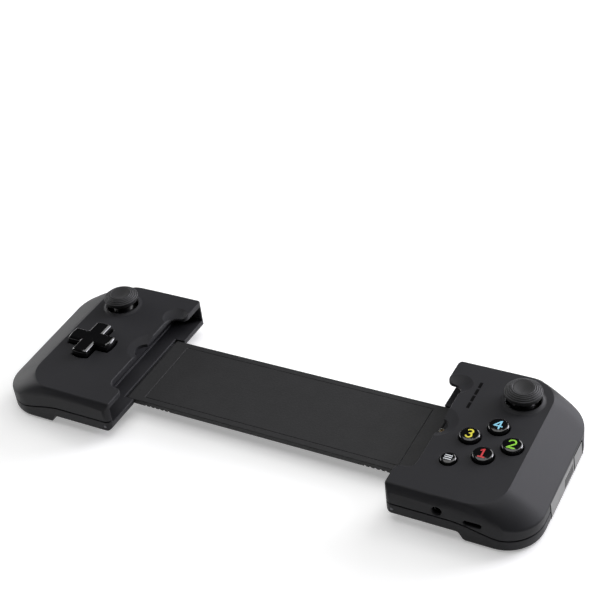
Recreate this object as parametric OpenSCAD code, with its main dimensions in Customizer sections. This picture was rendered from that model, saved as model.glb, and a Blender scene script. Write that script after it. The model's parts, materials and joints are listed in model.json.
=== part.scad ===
/* [Housing] */
// Distance from the middle of the controller to each outer end
half_length = 128.5; // [116:0.5:140]
// Depth of each half from its near wall to its far wall
depth = 83.8; // [77:0.2:90]
// Height of the flat face above the table
face_height = 19.6; // [19.2:0.1:21]
// Wall thickness of the housings
wall = 2; // [1.7:0.1:2.3]
// Dark gap at the seam between front and rear housings
seam_gap = 0.3; // [0.1:0.05:0.5]
// Height of the seam along the inner part of each half
seam_inner = 10.1; // [9.6:0.1:10.8]
// Height of the seam round the outer end of each half
seam_outer = 6.2; // [5.6:0.1:7]
// Plan radius of the outer corner on the near side
near_corner = 16; // [13:0.5:18]
// Plan radius where the slanted far corner meets the outer end
far_corner = 14; // [12:0.5:16]
// Slant of the far corner against the far wall, in degrees
far_slant = 25; // [22:0.5:28]
// Distance from the outer end to where the far wall starts to turn
far_turn = 26.6; // [25.6:0.1:27.4]
// Plan radius of the turn from the far wall to the slanted corner
turn_radius = 8; // [6:0.5:10]
// Round along the bottom edge of each grip
foot_round = 2; // [1:0.1:2.5]
// Plan radius of the arms' outer tips
arm_corner = 3; // [2:0.5:4]

/* [Shoulder] */
// Width of the sloping shoulder along the near wall
near_shoulder = 2.1; // [1.6:0.1:3.4]
// Width of the sloping shoulder at the outer end
end_shoulder = 14.4; // [12:0.2:17]
// Width of the small round along the far wall
far_shoulder = 1.2; // [0.8:0.1:1.8]
// Plan radius of the crease round the flat face
crease_corner = 14; // [11:0.5:16]
// Height of the shoulder's lower edge at the outer end
shoulder_low = 10.9; // [10:0.1:12]
// Drop of the shoulder's lower edge along the near wall
near_drop = 3.2; // [2.4:0.1:3.6]
// Drop of the small round along the far wall
far_drop = 1; // [0.6:0.1:1.4]

/* [Phone bay] */
// Length of each grip, from the bay's end wall to the outer end
grip_length = 49.15; // [48.9:0.05:50]
// Thickness of the long walls beside the bay
arm_wall = 2.7; // [2.4:0.1:3.6]
// Height of the bay under the lip
bay_height = 8.1; // [7.6:0.1:8.3]
// Height of the bay's floor above the table
bay_floor = 8.85; // [8.6:0.05:9.1]
// Thickness of the rear plate under the bay
plate = 3.9; // [3.6:0.05:4.1]
// Thickness of the bay's end wall
bay_wall = 1.2; // [1:0.1:1.4]
// Distance from the outer end to the tips of the arms
arm_tip = 61.9; // [61.5:0.1:63.5]
// Distance from the outer end to the straight edge of the lip
lip_edge = 54.3; // [52.5:0.1:55.5]
// Width of each arm beside the lip's opening
arm_width = 14.5; // [13:0.1:17]
// Offset of the lip's opening towards the far side
lip_y = -1.2; // [-2:0.2:1]
// Radius of the lip's rounded corners
lip_corner = 4; // [2.5:0.5:5]
// Radius of the notch in the middle of the lip
notch_radius = 5; // [4:0.2:6]
// Offset of the notch towards the far side
notch_y = -0.5; // [-1.5:0.1:1.5]
// Depth of the finger dishes in the face
dish_depth = 1.4; // [0.6:0.1:1.6]
// Radius of the finger dish round the notch
notch_dish = 9.6; // [8:0.1:10.5]
// Radius of the finger dish at the lip's far corner
corner_dish = 6.2; // [5:0.1:7]

/* [Grip] */
// Distance from the outer end to the start of the ramp down to the grip
ramp_start = 31.1; // [30.1:0.1:32.5]
// Length of the ramp down to the grip
ramp_run = 4.2; // [3.6:0.2:6]

/* [Bridge] */
// Width of the strap that joins the halves
strap_width = 44; // [40:1:48]
// Thickness of the strap
strap_thick = 2.6; // [2.2:0.1:2.8]
// Distance from the outer end to each hinge pin
pin_x = 58.8; // [58.1:0.1:59.3]
// Radius of the hinge pins
pin_radius = 0.75; // [0.6:0.05:0.8]
// Round on the rear plates' inner edge, about the hinge pins
hinge_round = 2.4; // [1.6:0.1:2.8]
// Radial clearance of the strap's eyes on the pins
pin_clear = 0.05; // [0.02:0.01:0.1]
// Gap between the strap and the notch it turns in
strap_gap = 0.4; // [0.3:0.05:0.6]
// Width of the flat cable in the strap
ribbon_width = 12; // [8:0.5:16]
// Thickness of the flat cable in the strap
ribbon_thick = 0.3; // [0.2:0.05:0.4]
// Thickness of the strap's cover
cover_thick = 0.6; // [0.4:0.1:0.8]

/* [Thumb sticks] */
// Distance from the outer end to the stick centres
stick_x = 27; // [26.1:0.1:28.5]
// Distance from the far wall to the stick centres
stick_y = 16.6; // [16.3:0.1:17.1]
// Height of the sticks' pivots
stick_pivot = 14.1; // [13.8:0.1:14.3]
// Radius of the stick wells
well_radius = 7.55; // [7.3:0.05:8]
// Width of the raised ring round each well
ring_width = 2.2; // [1.2:0.1:2.6]
// Height of the raised ring
ring_height = 0.8; // [0.4:0.05:0.9]
// Greatest radius of the stick caps
cap_radius = 8; // [7.4:0.1:8.4]
// Height of the caps' lower rim above the table
cap_low = 23.1; // [22.9:0.1:23.8]
// Thickness of the caps
cap_thick = 4.2; // [3.8:0.1:5]
// Radius of the dish in the top of the caps
cap_dish = 4.85; // [4:0.05:5.5]
// Count of the ribs round the caps' shoulder
cap_ribs = 7; // [3:1:8]
// Radius of the dome under each cap
dome_radius = 6.8; // [6.4:0.1:6.9]
// Half width of the sensor base under each stick
base_half = 8; // [7.8:0.1:8.2]

/* [Face buttons] */
// Distance from the outer end to the centre of the button group
group_x = 30.7; // [29.3:0.1:31]
// Place of the button group's centre, far side positive
group_y = -3.5; // [-4:0.1:-2.6]
// Distance from the group's centre to each button
button_spread = 9.1; // [8.9:0.1:9.4]
// Radius of the face buttons
button_radius = 4.3; // [3.7:0.1:4.5]
// Gap round the buttons in the face
button_gap = 0.4; // [0.2:0.05:0.5]
// Height of the buttons above the face
button_rise = 2; // [1.6:0.1:2.4]
// Travel of the face buttons
button_travel = 1.2; // [0.8:0.1:1.3]
// Radius of the menu button
menu_radius = 3.3; // [2.8:0.1:3.5]
// Distance of the menu button from the group's centre, towards the bay
menu_x = 12.4; // [12:0.1:12.6]
// Distance of the menu button from the group's centre, towards the near side
menu_y = 15.4; // [15:0.1:15.8]

/* [Cross pad] */
// Distance from the outer end to the centre of the cross pad
pad_x = 29.3; // [28.8:0.1:30]
// Place of the cross pad's centre, far side positive
pad_y = -4.2; // [-4.8:0.1:-3]
// Span of the cross pad
pad_span = 22.8; // [20:0.2:23.2]
// Width of the cross pad's arms
pad_arm = 8; // [6:0.1:8.4]
// Height of the cross pad above the face
pad_rise = 3.4; // [2:0.1:3.8]
// Bevel on the cross pad's edges
pad_bevel = 0.9; // [0.5:0.1:1.2]
// Gap round the cross pad in the face
pad_gap = 0.6; // [0.5:0.05:0.8]
// Radius of the ball that the cross pad rocks on
ball_radius = 1.8; // [1.5:0.1:2]

/* [Shoulder buttons] */
// Distance from the outer end to the inner end of the bumpers
bumper_in = 40.5; // [38.5:0.1:40.5]
// Distance from the outer end to the outer end of the bumpers
bumper_out = 23.5; // [21.5:0.5:25.5]
// Height of the bumpers' lower edge
bumper_low = 12.9; // [12.6:0.1:13.2]
// Height of the bumpers' upper edge
bumper_high = 16.3; // [15.8:0.1:16.5]
// Distance from the outer end to the inner end of the triggers
trigger_in = 34.3; // [33.7:0.1:34.5]
// Distance from the outer end to the outer end of the triggers
trigger_out = 19.5; // [18.5:0.1:21.5]
// Height of the triggers' lower edge
trigger_low = 5.2; // [5:0.1:5.6]
// Height of the triggers' upper edge
trigger_high = 10.6; // [10.3:0.1:10.8]
// How far the triggers stand out of the far wall
trigger_reach = 2.4; // [1.6:0.1:2.8]
// Distance from the far wall to the trigger pins
trigger_pin_y = 5.4; // [5.2:0.1:5.6]
// Height of the trigger pins
trigger_pin_z = 9.2; // [9:0.1:9.4]
// Gap round the bumpers and triggers
key_gap = 0.3; // [0.25:0.05:0.4]

/* [Ports and lights] */
// Distance from the outer end to the headphone socket
jack_x = 39.1; // [38.1:0.1:39.2]
// Height of the headphone socket's centre
jack_z = 13.2; // [13:0.1:13.4]
// Radius of the headphone socket's bore
jack_radius = 1.8; // [1.75:0.01:1.85]
// Depth of the headphone socket
jack_depth = 12; // [11:0.5:12]
// Distance from the outer end to the charging socket
port_x = 24.3; // [23.1:0.1:25.5]
// Height of the charging socket's centre
port_z = 11.2; // [11.1:0.1:11.5]
// Width of the charging socket's opening
port_width = 7.6; // [7:0.1:8.2]
// Height of the charging socket's opening
port_height = 2.1; // [1.8:0.1:2.4]
// Width of the phone plug's tongue
plug_width = 6.7; // [6:0.1:7.2]
// Thickness of the phone plug's tongue
plug_thick = 1.5; // [1.4:0.05:1.8]
// How far the phone plug stands into the bay
plug_reach = 6.8; // [6:0.1:7]
// Count of the charge lights
light_count = 4; // [3:1:4]
// Spacing of the charge lights
light_pitch = 4.55; // [4.4:0.05:4.7]
// Length of each charge light
light_length = 3.6; // [3:0.1:3.8]
// Width of each charge light
light_width = 0.9; // [0.7:0.1:1]
// Distance from the far wall to the middle of the row of lights
light_y = 20.4; // [19.5:0.1:21.3]
// Count of the sound slots in the end panel
vent_count = 8; // [5:1:8]
// Spacing of the sound slots
vent_pitch = 1.35; // [1.2:0.05:1.4]
// Width of the sound slots
vent_width = 0.8; // [0.6:0.05:0.9]

/* [Inside] */
// Height of the underside of the circuit boards
board_low = 8.6; // [8.4:0.05:8.7]
// Thickness of the circuit boards
board_thick = 1.2; // [1:0.1:1.3]
// Radius of the screw posts
post_radius = 2.5; // [2.3:0.1:2.7]
// Radius of the screw shanks
screw_radius = 0.8; // [0.7:0.05:0.85]
// Radius of the screw heads
screw_head = 1.8; // [1.6:0.1:1.9]
// Thickness of the battery cell
cell_thick = 4.4; // [3.6:0.1:5.4]
// Length of the battery cell, along the grip's depth
cell_length = 33.5; // [28:0.5:34.5]
// Width of the battery cell
cell_width = 13.6; // [11:0.2:14]

/* [Hidden] */
$fn = 48;
eps = 0.02;

// Finishes
soft_black = "#36363a";
gloss_black = "#141416";
rubber_black = "#232325";
steel = "#b9bcc0";
board_green = "#1f5a3a";
silicone = "#c9c9c4";

// Places along the length, which all follow the outer end
arm_end = half_length - arm_tip;
lip_at = half_length - lip_edge;
bay_end = half_length - grip_length;
cavity_start = bay_end + bay_wall;
ramp_at = half_length - ramp_start;
grip_start = ramp_at + ramp_run;
turn_at = half_length - far_turn;
pin_at = half_length - pin_x;
bumper_from = half_length - bumper_in;
bumper_to = half_length - bumper_out;
trigger_from = half_length - trigger_in;
trigger_to = half_length - trigger_out;
jack_at = half_length - jack_x;
port_at = half_length - port_x;

// Places that follow the far wall, and those of the controls
far_wall = depth / 2;
bay_width = depth - 2 * arm_wall;
lip_half = far_wall - arm_width;
trigger_pin_at = far_wall - trigger_pin_y;
light_at = far_wall - light_y;
stick_at = [half_length - stick_x, far_wall - stick_y];
group_at = [half_length - group_x, group_y];
menu_at = group_at - [menu_x, menu_y];
pad_at = [half_length - pad_x, pad_y];

// Heights that follow from the driving sizes
plate_low = bay_floor - plate;
bay_top = bay_floor + bay_height;
ceiling = face_height - wall;
board_top = board_low + board_thick;
post_joint = board_top + 0.4;
board_edge = wall + foot_round - depth / 2;
pin_z = plate_low + plate * 0.55;
eye_radius = pin_radius + 0.6;
strap_low = pin_z - strap_thick / 2;
strap_high = pin_z + strap_thick / 2;
notch_half = strap_width / 2 + strap_gap;
notch_out = pin_at + eye_radius + strap_gap + 0.1;

// Steps along the outline of one half
wall_steps = 8;
near_steps = 11;
end_steps = 8;
turn_steps = 3;

// Distance from the middle where the shoulder's lower edge starts to fall
near_fall_run = 36.5;
far_fall_run = 35.5;
near_fall = half_length - near_fall_run;
far_fall = half_length - far_fall_run;

// Screw posts of one half, inner ones first
post_inset = [3, 4.7, 8, 9];
post_y = [-26.5, far_wall - 6.4, -26, 17];
posts = [
    [cavity_start + post_inset[0], post_y[0]],
    [cavity_start + post_inset[1], post_y[1]],
    [half_length - post_inset[2], post_y[2]],
    [half_length - post_inset[3], post_y[3]]
];
plate_seat = plate_low + 1.5;
grip_seat = 4.2;
post_lap = 0.4;
head_seats = [plate_seat, plate_seat, grip_seat, grip_seat];
post_feet = [plate_low + post_lap, plate_low + post_lap, post_lap, post_lap];
post_shoulder = post_radius + 0.8;
pilot_depth = 3.4;
shank_gap = 0.05;

function mix(a, b, t) = a + (b - a) * t;
function clamp01(u) = max(0, min(1, u));
function smooth(u) = let (c = clamp01(u)) c * c * (3 - 2 * c);
function arc(cx, cy, r, from, to, n) =
    [for (i = [0:n]) let (a = mix(from, to, i / n)) [cx + r * cos(a), cy + r * sin(a)]];

// Plan outline of one half from its near inner corner round to its far inner corner. The far corner is a
// slanted line between two rounds; with both rounds on one centre it is a plain round.
function trail(near, end, far, r_near, r_far, r_turn, turn, start) =
    let (
        xe = half_length - end,
        yn = near - depth / 2,
        yf = depth / 2 - far,
        lean = 90 - far_slant,
        slant = turn * cos(lean) + (yf - r_turn) * sin(lean) + r_turn,
        far_y = (slant - r_far - (xe - r_far) * cos(lean)) / sin(lean)
    )
    concat(
        [for (i = [0:wall_steps - 1]) [mix(start, xe - r_near, i / wall_steps), yn]],
        arc(xe - r_near, yn + r_near, r_near, -90, 0, near_steps),
        arc(xe - r_far, far_y, r_far, 0, lean, end_steps),
        [for (i = [1:turn_steps])
            let (a = mix(lean, 90, i / turn_steps))
            [turn + r_turn * cos(a), yf - r_turn + r_turn * sin(a)]],
        [for (i = [1:wall_steps]) [mix(turn, start, i / wall_steps), yf]]
    );

function outline(d, start) =
    trail(d, d, d, near_corner - d, far_corner - d, turn_radius - d, turn_at, start);
function crease(d, start) =
    let (r = crease_corner - d / 2)
    trail(near_shoulder + d, end_shoulder + d, far_shoulder + d, r, r, r,
        half_length - end_shoulder - d - r, start);

// Height of the shoulder's lower edge at a point of the outline; from the far wall it falls all the way
// round the far corner to the middle of the outer end
function edge_height(p) =
    let (
        near = p[1] < 0,
        drop = near ? near_drop : far_drop,
        gone = near ? p[0] - near_fall : p[0] - far_fall + depth / 2 - p[1],
        run = half_length - (near ? near_fall : far_fall - depth / 2)
    )
    mix(face_height - drop, shoulder_low, smooth(gone / run));

// The shoulder is nearly straight, with a slight crown
function crown(t) = t + 0.1 * sin(180 * t);

function flat_ring(points, z) = [for (p = points) [p[0], p[1], z]];
function shoulder_ring(d, start, t, drop) =
    let (
        low = outline(d, start),
        high = crease(d, start)
    )
    [for (i = [0:len(low) - 1])
        let (
            p = mix(low[i], high[i], t),
            z = mix(edge_height(low[i]), face_height, crown(t))
        )
        [p[0], p[1], z - drop]];

// Closed solid through a stack of rings with equal point counts
module loft(rings) {
    n = len(rings[0]);
    m = len(rings);
    sides = [for (j = [0:m - 2], i = [0:n - 1], half = [0, 1])
        let (
            a = j * n + i,
            b = j * n + (i + 1) % n,
            c = b + n,
            d = a + n
        )
        half == 0 ? [a, c, b] : [a, d, c]];
    last = (m - 1) * n;
    caps = [for (i = [0:n / 2 - 2], part = [0:3])
        let (
            near = i,
            far = n - 1 - i
        )
        part == 0 ? [near, near + 1, far] :
        part == 1 ? [near + 1, far - 1, far] :
        part == 2 ? [last + near, last + far, last + near + 1] :
        [last + near + 1, last + far, last + far - 1]];
    polyhedron([for (r = rings) each r], concat(sides, caps), convexity = 6);
}

// Outer form of one half, before the seam, bay and grip are cut
module housing_form() {
    loft(concat(
        [
            flat_ring(outline(foot_round, arm_end), 0),
            flat_ring(outline(foot_round * 0.3, arm_end), foot_round * 0.3),
            flat_ring(outline(0, arm_end), foot_round)
        ],
        [for (t = [0, 0.35, 0.7, 0.93]) shoulder_ring(0, arm_end, t, 0)],
        [flat_ring(crease(0.4, arm_end), face_height)]
    ));
}

// Hollow inside one half
module housing_hollow() {
    loft([
        flat_ring(outline(wall + foot_round / 2, cavity_start), wall),
        flat_ring(outline(wall, cavity_start), wall + foot_round / 2),
        [for (p = outline(wall, cavity_start))
            [p[0], p[1], min(edge_height(p) - wall * 0.6, ceiling - 0.1)]],
        flat_ring(crease(wall, cavity_start), ceiling)
    ]);
}

// A profile drawn in X and Z, carried through the whole depth
module through_depth(points) {
    rotate([90, 0, 0])
        linear_extrude(height = depth * 2, center = true)
            polygon(points);
}

seam_inset = 34.5;
seam_from = half_length - seam_inset;
seam_run = 24;
function seam_height(x) = mix(seam_inner, seam_outer, smooth((x - seam_from) / seam_run));
seam_points = [for (i = [0:8]) let (x = seam_from + seam_run * i / 8) [x, seam_height(x)]];
beyond = half_length + 10;
inside = arm_end - 10;

module above_seam() {
    through_depth(concat(
        [[inside, seam_inner]],
        seam_points,
        [[beyond, seam_outer], [beyond, face_height * 2], [inside, face_height * 2]]
    ));
}

module below_seam() {
    lower = [for (p = seam_points) [p[0], p[1] - seam_gap]];
    through_depth(concat(
        [[inside, -10], [inside, seam_inner - seam_gap]],
        lower,
        [[beyond, seam_outer - seam_gap], [beyond, -10]]
    ));
}

// Everything under the rear plate and the ramp, raised by a given amount
module under_plate(raise) {
    steps = 8;
    ramp = [for (i = [0:steps])
        let (u = i / steps)
        [ramp_at + ramp_run * u + raise * 0.4, plate_low * (1 - smooth(u)) + raise]];
    through_depth(concat([[inside, -20], [inside, plate_low + raise]], ramp, [[ramp[steps][0], -20]]));
}

module bay() {
    translate([inside, -bay_width / 2, bay_floor])
        cube([bay_end - inside, bay_width, bay_height]);
}

// Plan of the opening between the two arms of the lip
module lip_plan() {
    translate([lip_at - notch_radius / 3, notch_y])
        circle(notch_radius);
    translate([0, lip_y])
        lip_bay();
}

module lip_bay() {
    translate([inside, -lip_half])
        square([lip_at - lip_corner - inside, 2 * lip_half]);
    translate([inside, lip_corner - lip_half])
        square([lip_at - inside, 2 * (lip_half - lip_corner)]);
    for (s = [-1, 1]) {
        translate([lip_at - lip_corner, s * (lip_half - lip_corner)])
            circle(lip_corner);
        difference() {
            translate([inside, s > 0 ? lip_half - eps : -lip_half - arm_corner + eps])
                square([arm_end + arm_corner - inside, arm_corner]);
            translate([arm_end + arm_corner, s * (lip_half + arm_corner)])
                circle(arm_corner);
        }
    }
}

module lip_opening() {
    translate([0, 0, bay_top - eps])
        linear_extrude(height = face_height)
            lip_plan();
}

// Shallow round dish pressed into the face
module face_dish(x, y, r) {
    ball = (r * r + dish_depth * dish_depth) / (2 * dish_depth);
    translate([x, y, face_height + ball - dish_depth])
        sphere(ball, $fn = 96);
}

// Round the plan corner at the tip of each arm
module arm_tip_cut() {
    for (s = [-1, 1])
        difference() {
            translate([inside, s > 0 ? depth / 2 - arm_corner : -depth / 2 - 10, -1])
                cube([arm_end + arm_corner - inside, arm_corner + 10, face_height * 2]);
            translate([arm_end + arm_corner, s * (depth / 2 - arm_corner), -2])
                cylinder(r = arm_corner, h = face_height * 2 + 4);
        }
}

// Skin of one half between two depths under the outline, over a height
module skin(outer, inner, low, high) {
    translate([0, 0, low])
        linear_extrude(height = high - low)
            difference() {
                polygon(outline(outer, cavity_start));
                polygon(outline(inner, inside));
            }
}

// Block that takes a piece of the far wall, from a given distance out
module far_window(from, to, low, high, back) {
    translate([from, back, low])
        cube([to - from, depth, high - low]);
}

bumper_back = trigger_pin_at + 1.4;
trigger_back = trigger_pin_at - 0.6;

module bumper_window() {
    far_window(bumper_from - key_gap, bumper_to + key_gap, bumper_low - key_gap, bumper_high + key_gap,
        bumper_back);
}

trigger_swing = 1.6;
module trigger_window() {
    far_window(trigger_from - key_gap, trigger_to + key_gap, trigger_low - trigger_swing,
        trigger_high + key_gap, trigger_back);
}

module front_posts() {
    intersection() {
        for (p = posts)
            translate([p[0], p[1], post_joint])
                cylinder(r = post_radius, h = face_height);
        loft([
            flat_ring(outline(wall / 2, cavity_start - bay_wall / 2), wall),
            shoulder_ring(wall / 2, cavity_start - bay_wall / 2, 0, wall / 2),
            flat_ring(crease(wall / 2, cavity_start - bay_wall / 2), face_height - wall / 2)
        ]);
    }
}

ring_lap = 0.4;
ring_steps = 8;
module stick_ring() {
    translate([stick_at[0], stick_at[1], face_height])
        rotate_extrude($fn = 96)
            polygon(concat(
                [[well_radius - ring_lap, -wall / 2], [well_radius - ring_lap, ring_height]],
                [for (i = [0:ring_steps])
                    let (u = i / ring_steps)
                    [well_radius + ring_width * u, ring_height * (1 - smooth(u))]],
                [[well_radius + ring_width, -wall / 2]]
            ));
}

// Parts of the front housing that both halves share
module front_housing() {
    difference() {
        union() {
            difference() {
                intersection() {
                    housing_form();
                    above_seam();
                }
                housing_hollow();
                bay();
                lip_opening();
                arm_tip_cut();
                face_dish(lip_at - notch_radius / 2, notch_y + 1.6, notch_dish);
                face_dish(lip_at - lip_corner / 2, lip_y + lip_half, corner_dish);
            }
            front_posts();
            stick_ring();
        }
        for (p = posts)
            translate([p[0], p[1], post_joint - eps])
                cylinder(r = screw_radius + shank_gap, h = pilot_depth);
        translate([stick_at[0], stick_at[1], ceiling - 2])
            cylinder(r = well_radius, h = 10, $fn = 96);
        bumper_window();
        trigger_window();
    }
}

module rear_posts() {
    for (i = [0:3]) {
        translate([posts[i][0], posts[i][1], post_feet[i]])
            cylinder(r = post_shoulder, h = board_low - post_feet[i]);
        translate([posts[i][0], posts[i][1], post_feet[i]])
            cylinder(r = post_radius, h = post_joint - post_feet[i]);
    }
}

lug_thick = 1.6;
lug_gap = 0.15;
lug_back = 1.7;
lug_depth = 3;
lug_top = trigger_pin_z + 1.5;
hub_length = 10.2;
hub_out = trigger_from + hub_length;
module trigger_lugs() {
    for (x = [trigger_from - lug_gap - lug_thick, hub_out + lug_gap]) {
        foot = x < grip_start ? plate_low : wall - post_lap;
        translate([x, trigger_pin_at - lug_back, foot])
            cube([lug_thick, lug_depth, lug_top - foot]);
    }
}

module pin_bore(x, y, z, length, r) {
    translate([x, y, z])
        rotate([90, 0, 0])
            cylinder(r = r, h = length, center = true);
}

// Round the lower inner edge of the rear plate
module plate_edge_cut() {
    difference() {
        translate([inside, -depth, plate_low - 1])
            cube([arm_end + hinge_round - inside, 2 * depth, hinge_round + 1]);
        pin_bore(arm_end + hinge_round, 0, plate_low + hinge_round, 3 * depth, hinge_round);
    }
}

// Parts of the rear housing that both halves share
module rear_housing() {
    difference() {
        union() {
            difference() {
                intersection() {
                    housing_form();
                    below_seam();
                }
                under_plate(0);
                difference() {
                    housing_hollow();
                    under_plate(wall);
                }
                bay();
                arm_tip_cut();
                plate_edge_cut();
                trigger_window();
            }
            rear_posts();
            trigger_lugs();
        }
        for (i = [0:3])
            translate([posts[i][0], posts[i][1], 0]) {
                translate([0, 0, -1])
                    cylinder(r = screw_head + 0.2, h = head_seats[i] + 1);
                cylinder(r = screw_radius + 0.25, h = face_height);
            }
        translate([inside, -notch_half, -1])
            cube([notch_out - inside, 2 * notch_half, bay_floor + 2]);
        pin_bore(pin_at, 0, pin_z, depth + 10, pin_radius);
        translate([trigger_from - 4, trigger_pin_at, trigger_pin_z])
            rotate([0, 90, 0])
                cylinder(r = trigger_pin_radius, h = hub_out - trigger_from + 8);
    }
}

// End panel on the outer end of the right half
panel_near = -20;
panel_far = 9.4;
cover_near = 10;
cover_far = 20.2;
panel_low = 1.4;
panel_high = shoulder_low - 0.6;
panel_slant = 1.6;
panel_thick = 1;
panel_gap = 0.1;
module end_plate(near, far, grow, thick) {
    translate([half_length - thick, 0, 0])
        rotate([90, 0, 90])
            linear_extrude(height = thick)
                polygon([
                    [near + panel_slant - grow, panel_low - grow],
                    [far + panel_slant + grow, panel_low - grow],
                    [far + grow, panel_high + grow],
                    [near - grow, panel_high + grow]
                ]);
}

module end_recess() {
    translate([eps, 0, 0]) {
        end_plate(panel_near, panel_far, panel_gap, panel_thick + eps);
        end_plate(cover_near, cover_far, panel_gap, panel_thick + eps);
    }
}

vent_low = 2.6;
vent_high = 7.2;
module vents() {
    for (i = [0:vent_count - 1])
        translate([half_length - wall * 2, panel_far - 1.6 - i * vent_pitch, vent_low])
            cube([wall * 4, vent_width, vent_high - vent_low]);
}

button_places = [
    group_at + [0, -button_spread],
    group_at + [button_spread, 0],
    group_at + [-button_spread, 0],
    group_at + [0, button_spread]
];

light_x = cavity_start + 0.2 + light_width / 2;
module light_slots(grow) {
    for (i = [0:light_count - 1])
        translate([light_x, light_at + (i - (light_count - 1) / 2) * light_pitch, ceiling - 1])
            linear_extrude(height = wall + 1)
                square([light_width + 2 * grow, light_length + 2 * grow], center = true);
}

plug_z = bay_floor + bay_height / 2;
module right_front_housing() {
    color(soft_black)
        difference() {
            front_housing();
            for (b = button_places)
                translate([b[0], b[1], ceiling - 1])
                    cylinder(r = button_radius + button_gap, h = wall + 2);
            translate([menu_at[0], menu_at[1], ceiling - 1])
                cylinder(r = menu_radius + button_gap, h = wall + 2);
            light_slots(0.05);
            pin_bore(jack_at, -depth / 2, jack_z, wall * 3, jack_radius + 0.3);
            port_slot(port_width, port_height, depth / 2 + 1, wall + 2);
            translate([bay_end - 1, -plug_width / 2 - 0.15, plug_z - plug_thick / 2 - 0.15])
                cube([bay_wall + 2, plug_width + 0.3, plug_thick + 0.3]);
            end_recess();
            vents();
        }
}

// Slot with round ends on the near wall, from a distance out of the middle inwards
module port_slot(width, height, from, length) {
    translate([port_at, -from + length, port_z])
        rotate([90, 0, 0])
            linear_extrude(height = length) {
                square([width - height, height], center = true);
                for (s = [-1, 1])
                    translate([s * (width - height) / 2, 0])
                        circle(height / 2);
            }
}

module left_front_housing() {
    color(soft_black)
        mirror([1, 0, 0])
            difference() {
                front_housing();
                translate([pad_at[0], pad_at[1], ceiling - 1])
                    linear_extrude(height = wall + 2)
                        intersection() {
                            circle(pad_span / 2 + pad_gap, $fn = 96);
                            for (turn = [0, 90])
                                rotate([0, 0, turn])
                                    square([2 * pad_span, pad_arm + 2 * pad_gap], center = true);
                        }
            }
}

module right_rear_housing() {
    color(soft_black)
        difference() {
            rear_housing();
            end_recess();
            vents();
        }
}

module left_rear_housing() {
    color(soft_black)
        mirror([1, 0, 0])
            rear_housing();
}

module end_panel() {
    color(soft_black)
        difference() {
            end_plate(panel_near, panel_far, 0, panel_thick);
            vents();
        }
}

module end_cover() {
    color(soft_black)
        end_plate(cover_near, cover_far, 0, panel_thick);
}

// Strap between the halves, with an eye on each hinge pin
pocket_half = strap_width / 2 - 3;
pocket_reach = pin_at - 7;
pocket_depth = ribbon_thick + cover_thick + 0.1;
groove_count = 6;
groove_pitch = 2.4;
module bridge_strap() {
    color(rubber_black)
        difference() {
            union() {
                translate([-pin_at, -strap_width / 2, strap_low])
                    cube([2 * pin_at, strap_width, strap_thick]);
                for (s = [-1, 1])
                    translate([s * pin_at, 0, pin_z])
                        rotate([90, 0, 0])
                            cylinder(r = eye_radius, h = strap_width, center = true);
            }
            for (s = [-1, 1])
                pin_bore(s * pin_at, 0, pin_z, strap_width + 2, pin_radius + pin_clear);
            translate([-pocket_reach, -pocket_half, strap_high - pocket_depth])
                cube([2 * pocket_reach, 2 * pocket_half, pocket_depth + 1]);
            for (s = [-1, 1], i = [0:groove_count - 1])
                translate([s * (pocket_reach - 2 - i * groove_pitch), 0, strap_low])
                    rotate([90, 0, 0])
                        cylinder(r = 0.5, h = strap_width + 2, center = true);
        }
}

module bridge_flex_cable() {
    color("#b8742c")
        translate([-pocket_reach + 0.3, -ribbon_width / 2, strap_high - pocket_depth])
            cube([2 * pocket_reach - 0.6, ribbon_width, ribbon_thick]);
}

module bridge_cover() {
    color(rubber_black)
        translate([-pocket_reach + 0.1, 0.1 - pocket_half, strap_high - cover_thick])
            cube([2 * pocket_reach - 0.2, 2 * pocket_half - 0.2, cover_thick]);
}

module hinge_pin() {
    color(steel)
        pin_bore(pin_at, 0, pin_z, depth - 0.2, pin_radius - 0.02);
}

module board_plan() {
    difference() {
        intersection() {
            polygon(outline(wall + foot_round, cavity_start + 1));
            translate([0, -depth])
                square([half_length, depth + trigger_pin_at - 2.3]);
        }
        for (p = posts)
            translate(p)
                circle(post_radius + 0.15);
    }
}

module board() {
    color(board_green)
        translate([0, 0, board_low])
            linear_extrude(height = board_thick)
                board_plan();
}

module screws() {
    color(steel)
        for (i = [0:3])
            translate([posts[i][0], posts[i][1], head_seats[i]]) {
                difference() {
                    translate([0, 0, -1])
                        cylinder(r = screw_head, h = 1);
                    translate([0, 0, -1.5])
                        cylinder(r = 0.7, h = 1.1, $fn = 6);
                }
                cylinder(r = screw_radius, h = post_joint + pilot_depth - 0.6 - head_seats[i]);
            }
}

// Stick mechanism: base, gimbal ring, shaft with dome, and cap
base_wall = 1.2;
base_rise = 1.7;
trunnion = 0.8;
cross_pin = 0.6;
gimbal_out = 5.6;
gimbal_in = 4;
gimbal_half = 1.1;
module at_stick() {
    translate([stick_at[0], stick_at[1], 0])
        children();
}

module stick_base() {
    color(gloss_black)
        at_stick()
            difference() {
                translate([-base_half, -base_half, board_top])
                    cube([2 * base_half, 2 * base_half, stick_pivot + base_rise - board_top]);
                translate([base_wall - base_half, base_wall - base_half, board_top + 0.7])
                    cube([2 * (base_half - base_wall), 2 * (base_half - base_wall), 20]);
                translate([0, 0, stick_pivot])
                    rotate([0, 90, 0])
                        cylinder(r = trunnion + pin_clear, h = 3 * base_half, center = true);
            }
}

module stick_gimbal() {
    color(silicone)
        at_stick()
            translate([0, 0, stick_pivot])
                difference() {
                    union() {
                        cylinder(r = gimbal_out, h = 2 * gimbal_half, center = true);
                        rotate([0, 90, 0])
                            cylinder(r = trunnion, h = 2 * base_half - 0.1, center = true);
                    }
                    cylinder(r = gimbal_in, h = 10, center = true);
                    pin_bore(0, 0, 0, 3 * gimbal_out, cross_pin + pin_clear);
                }
}

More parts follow.
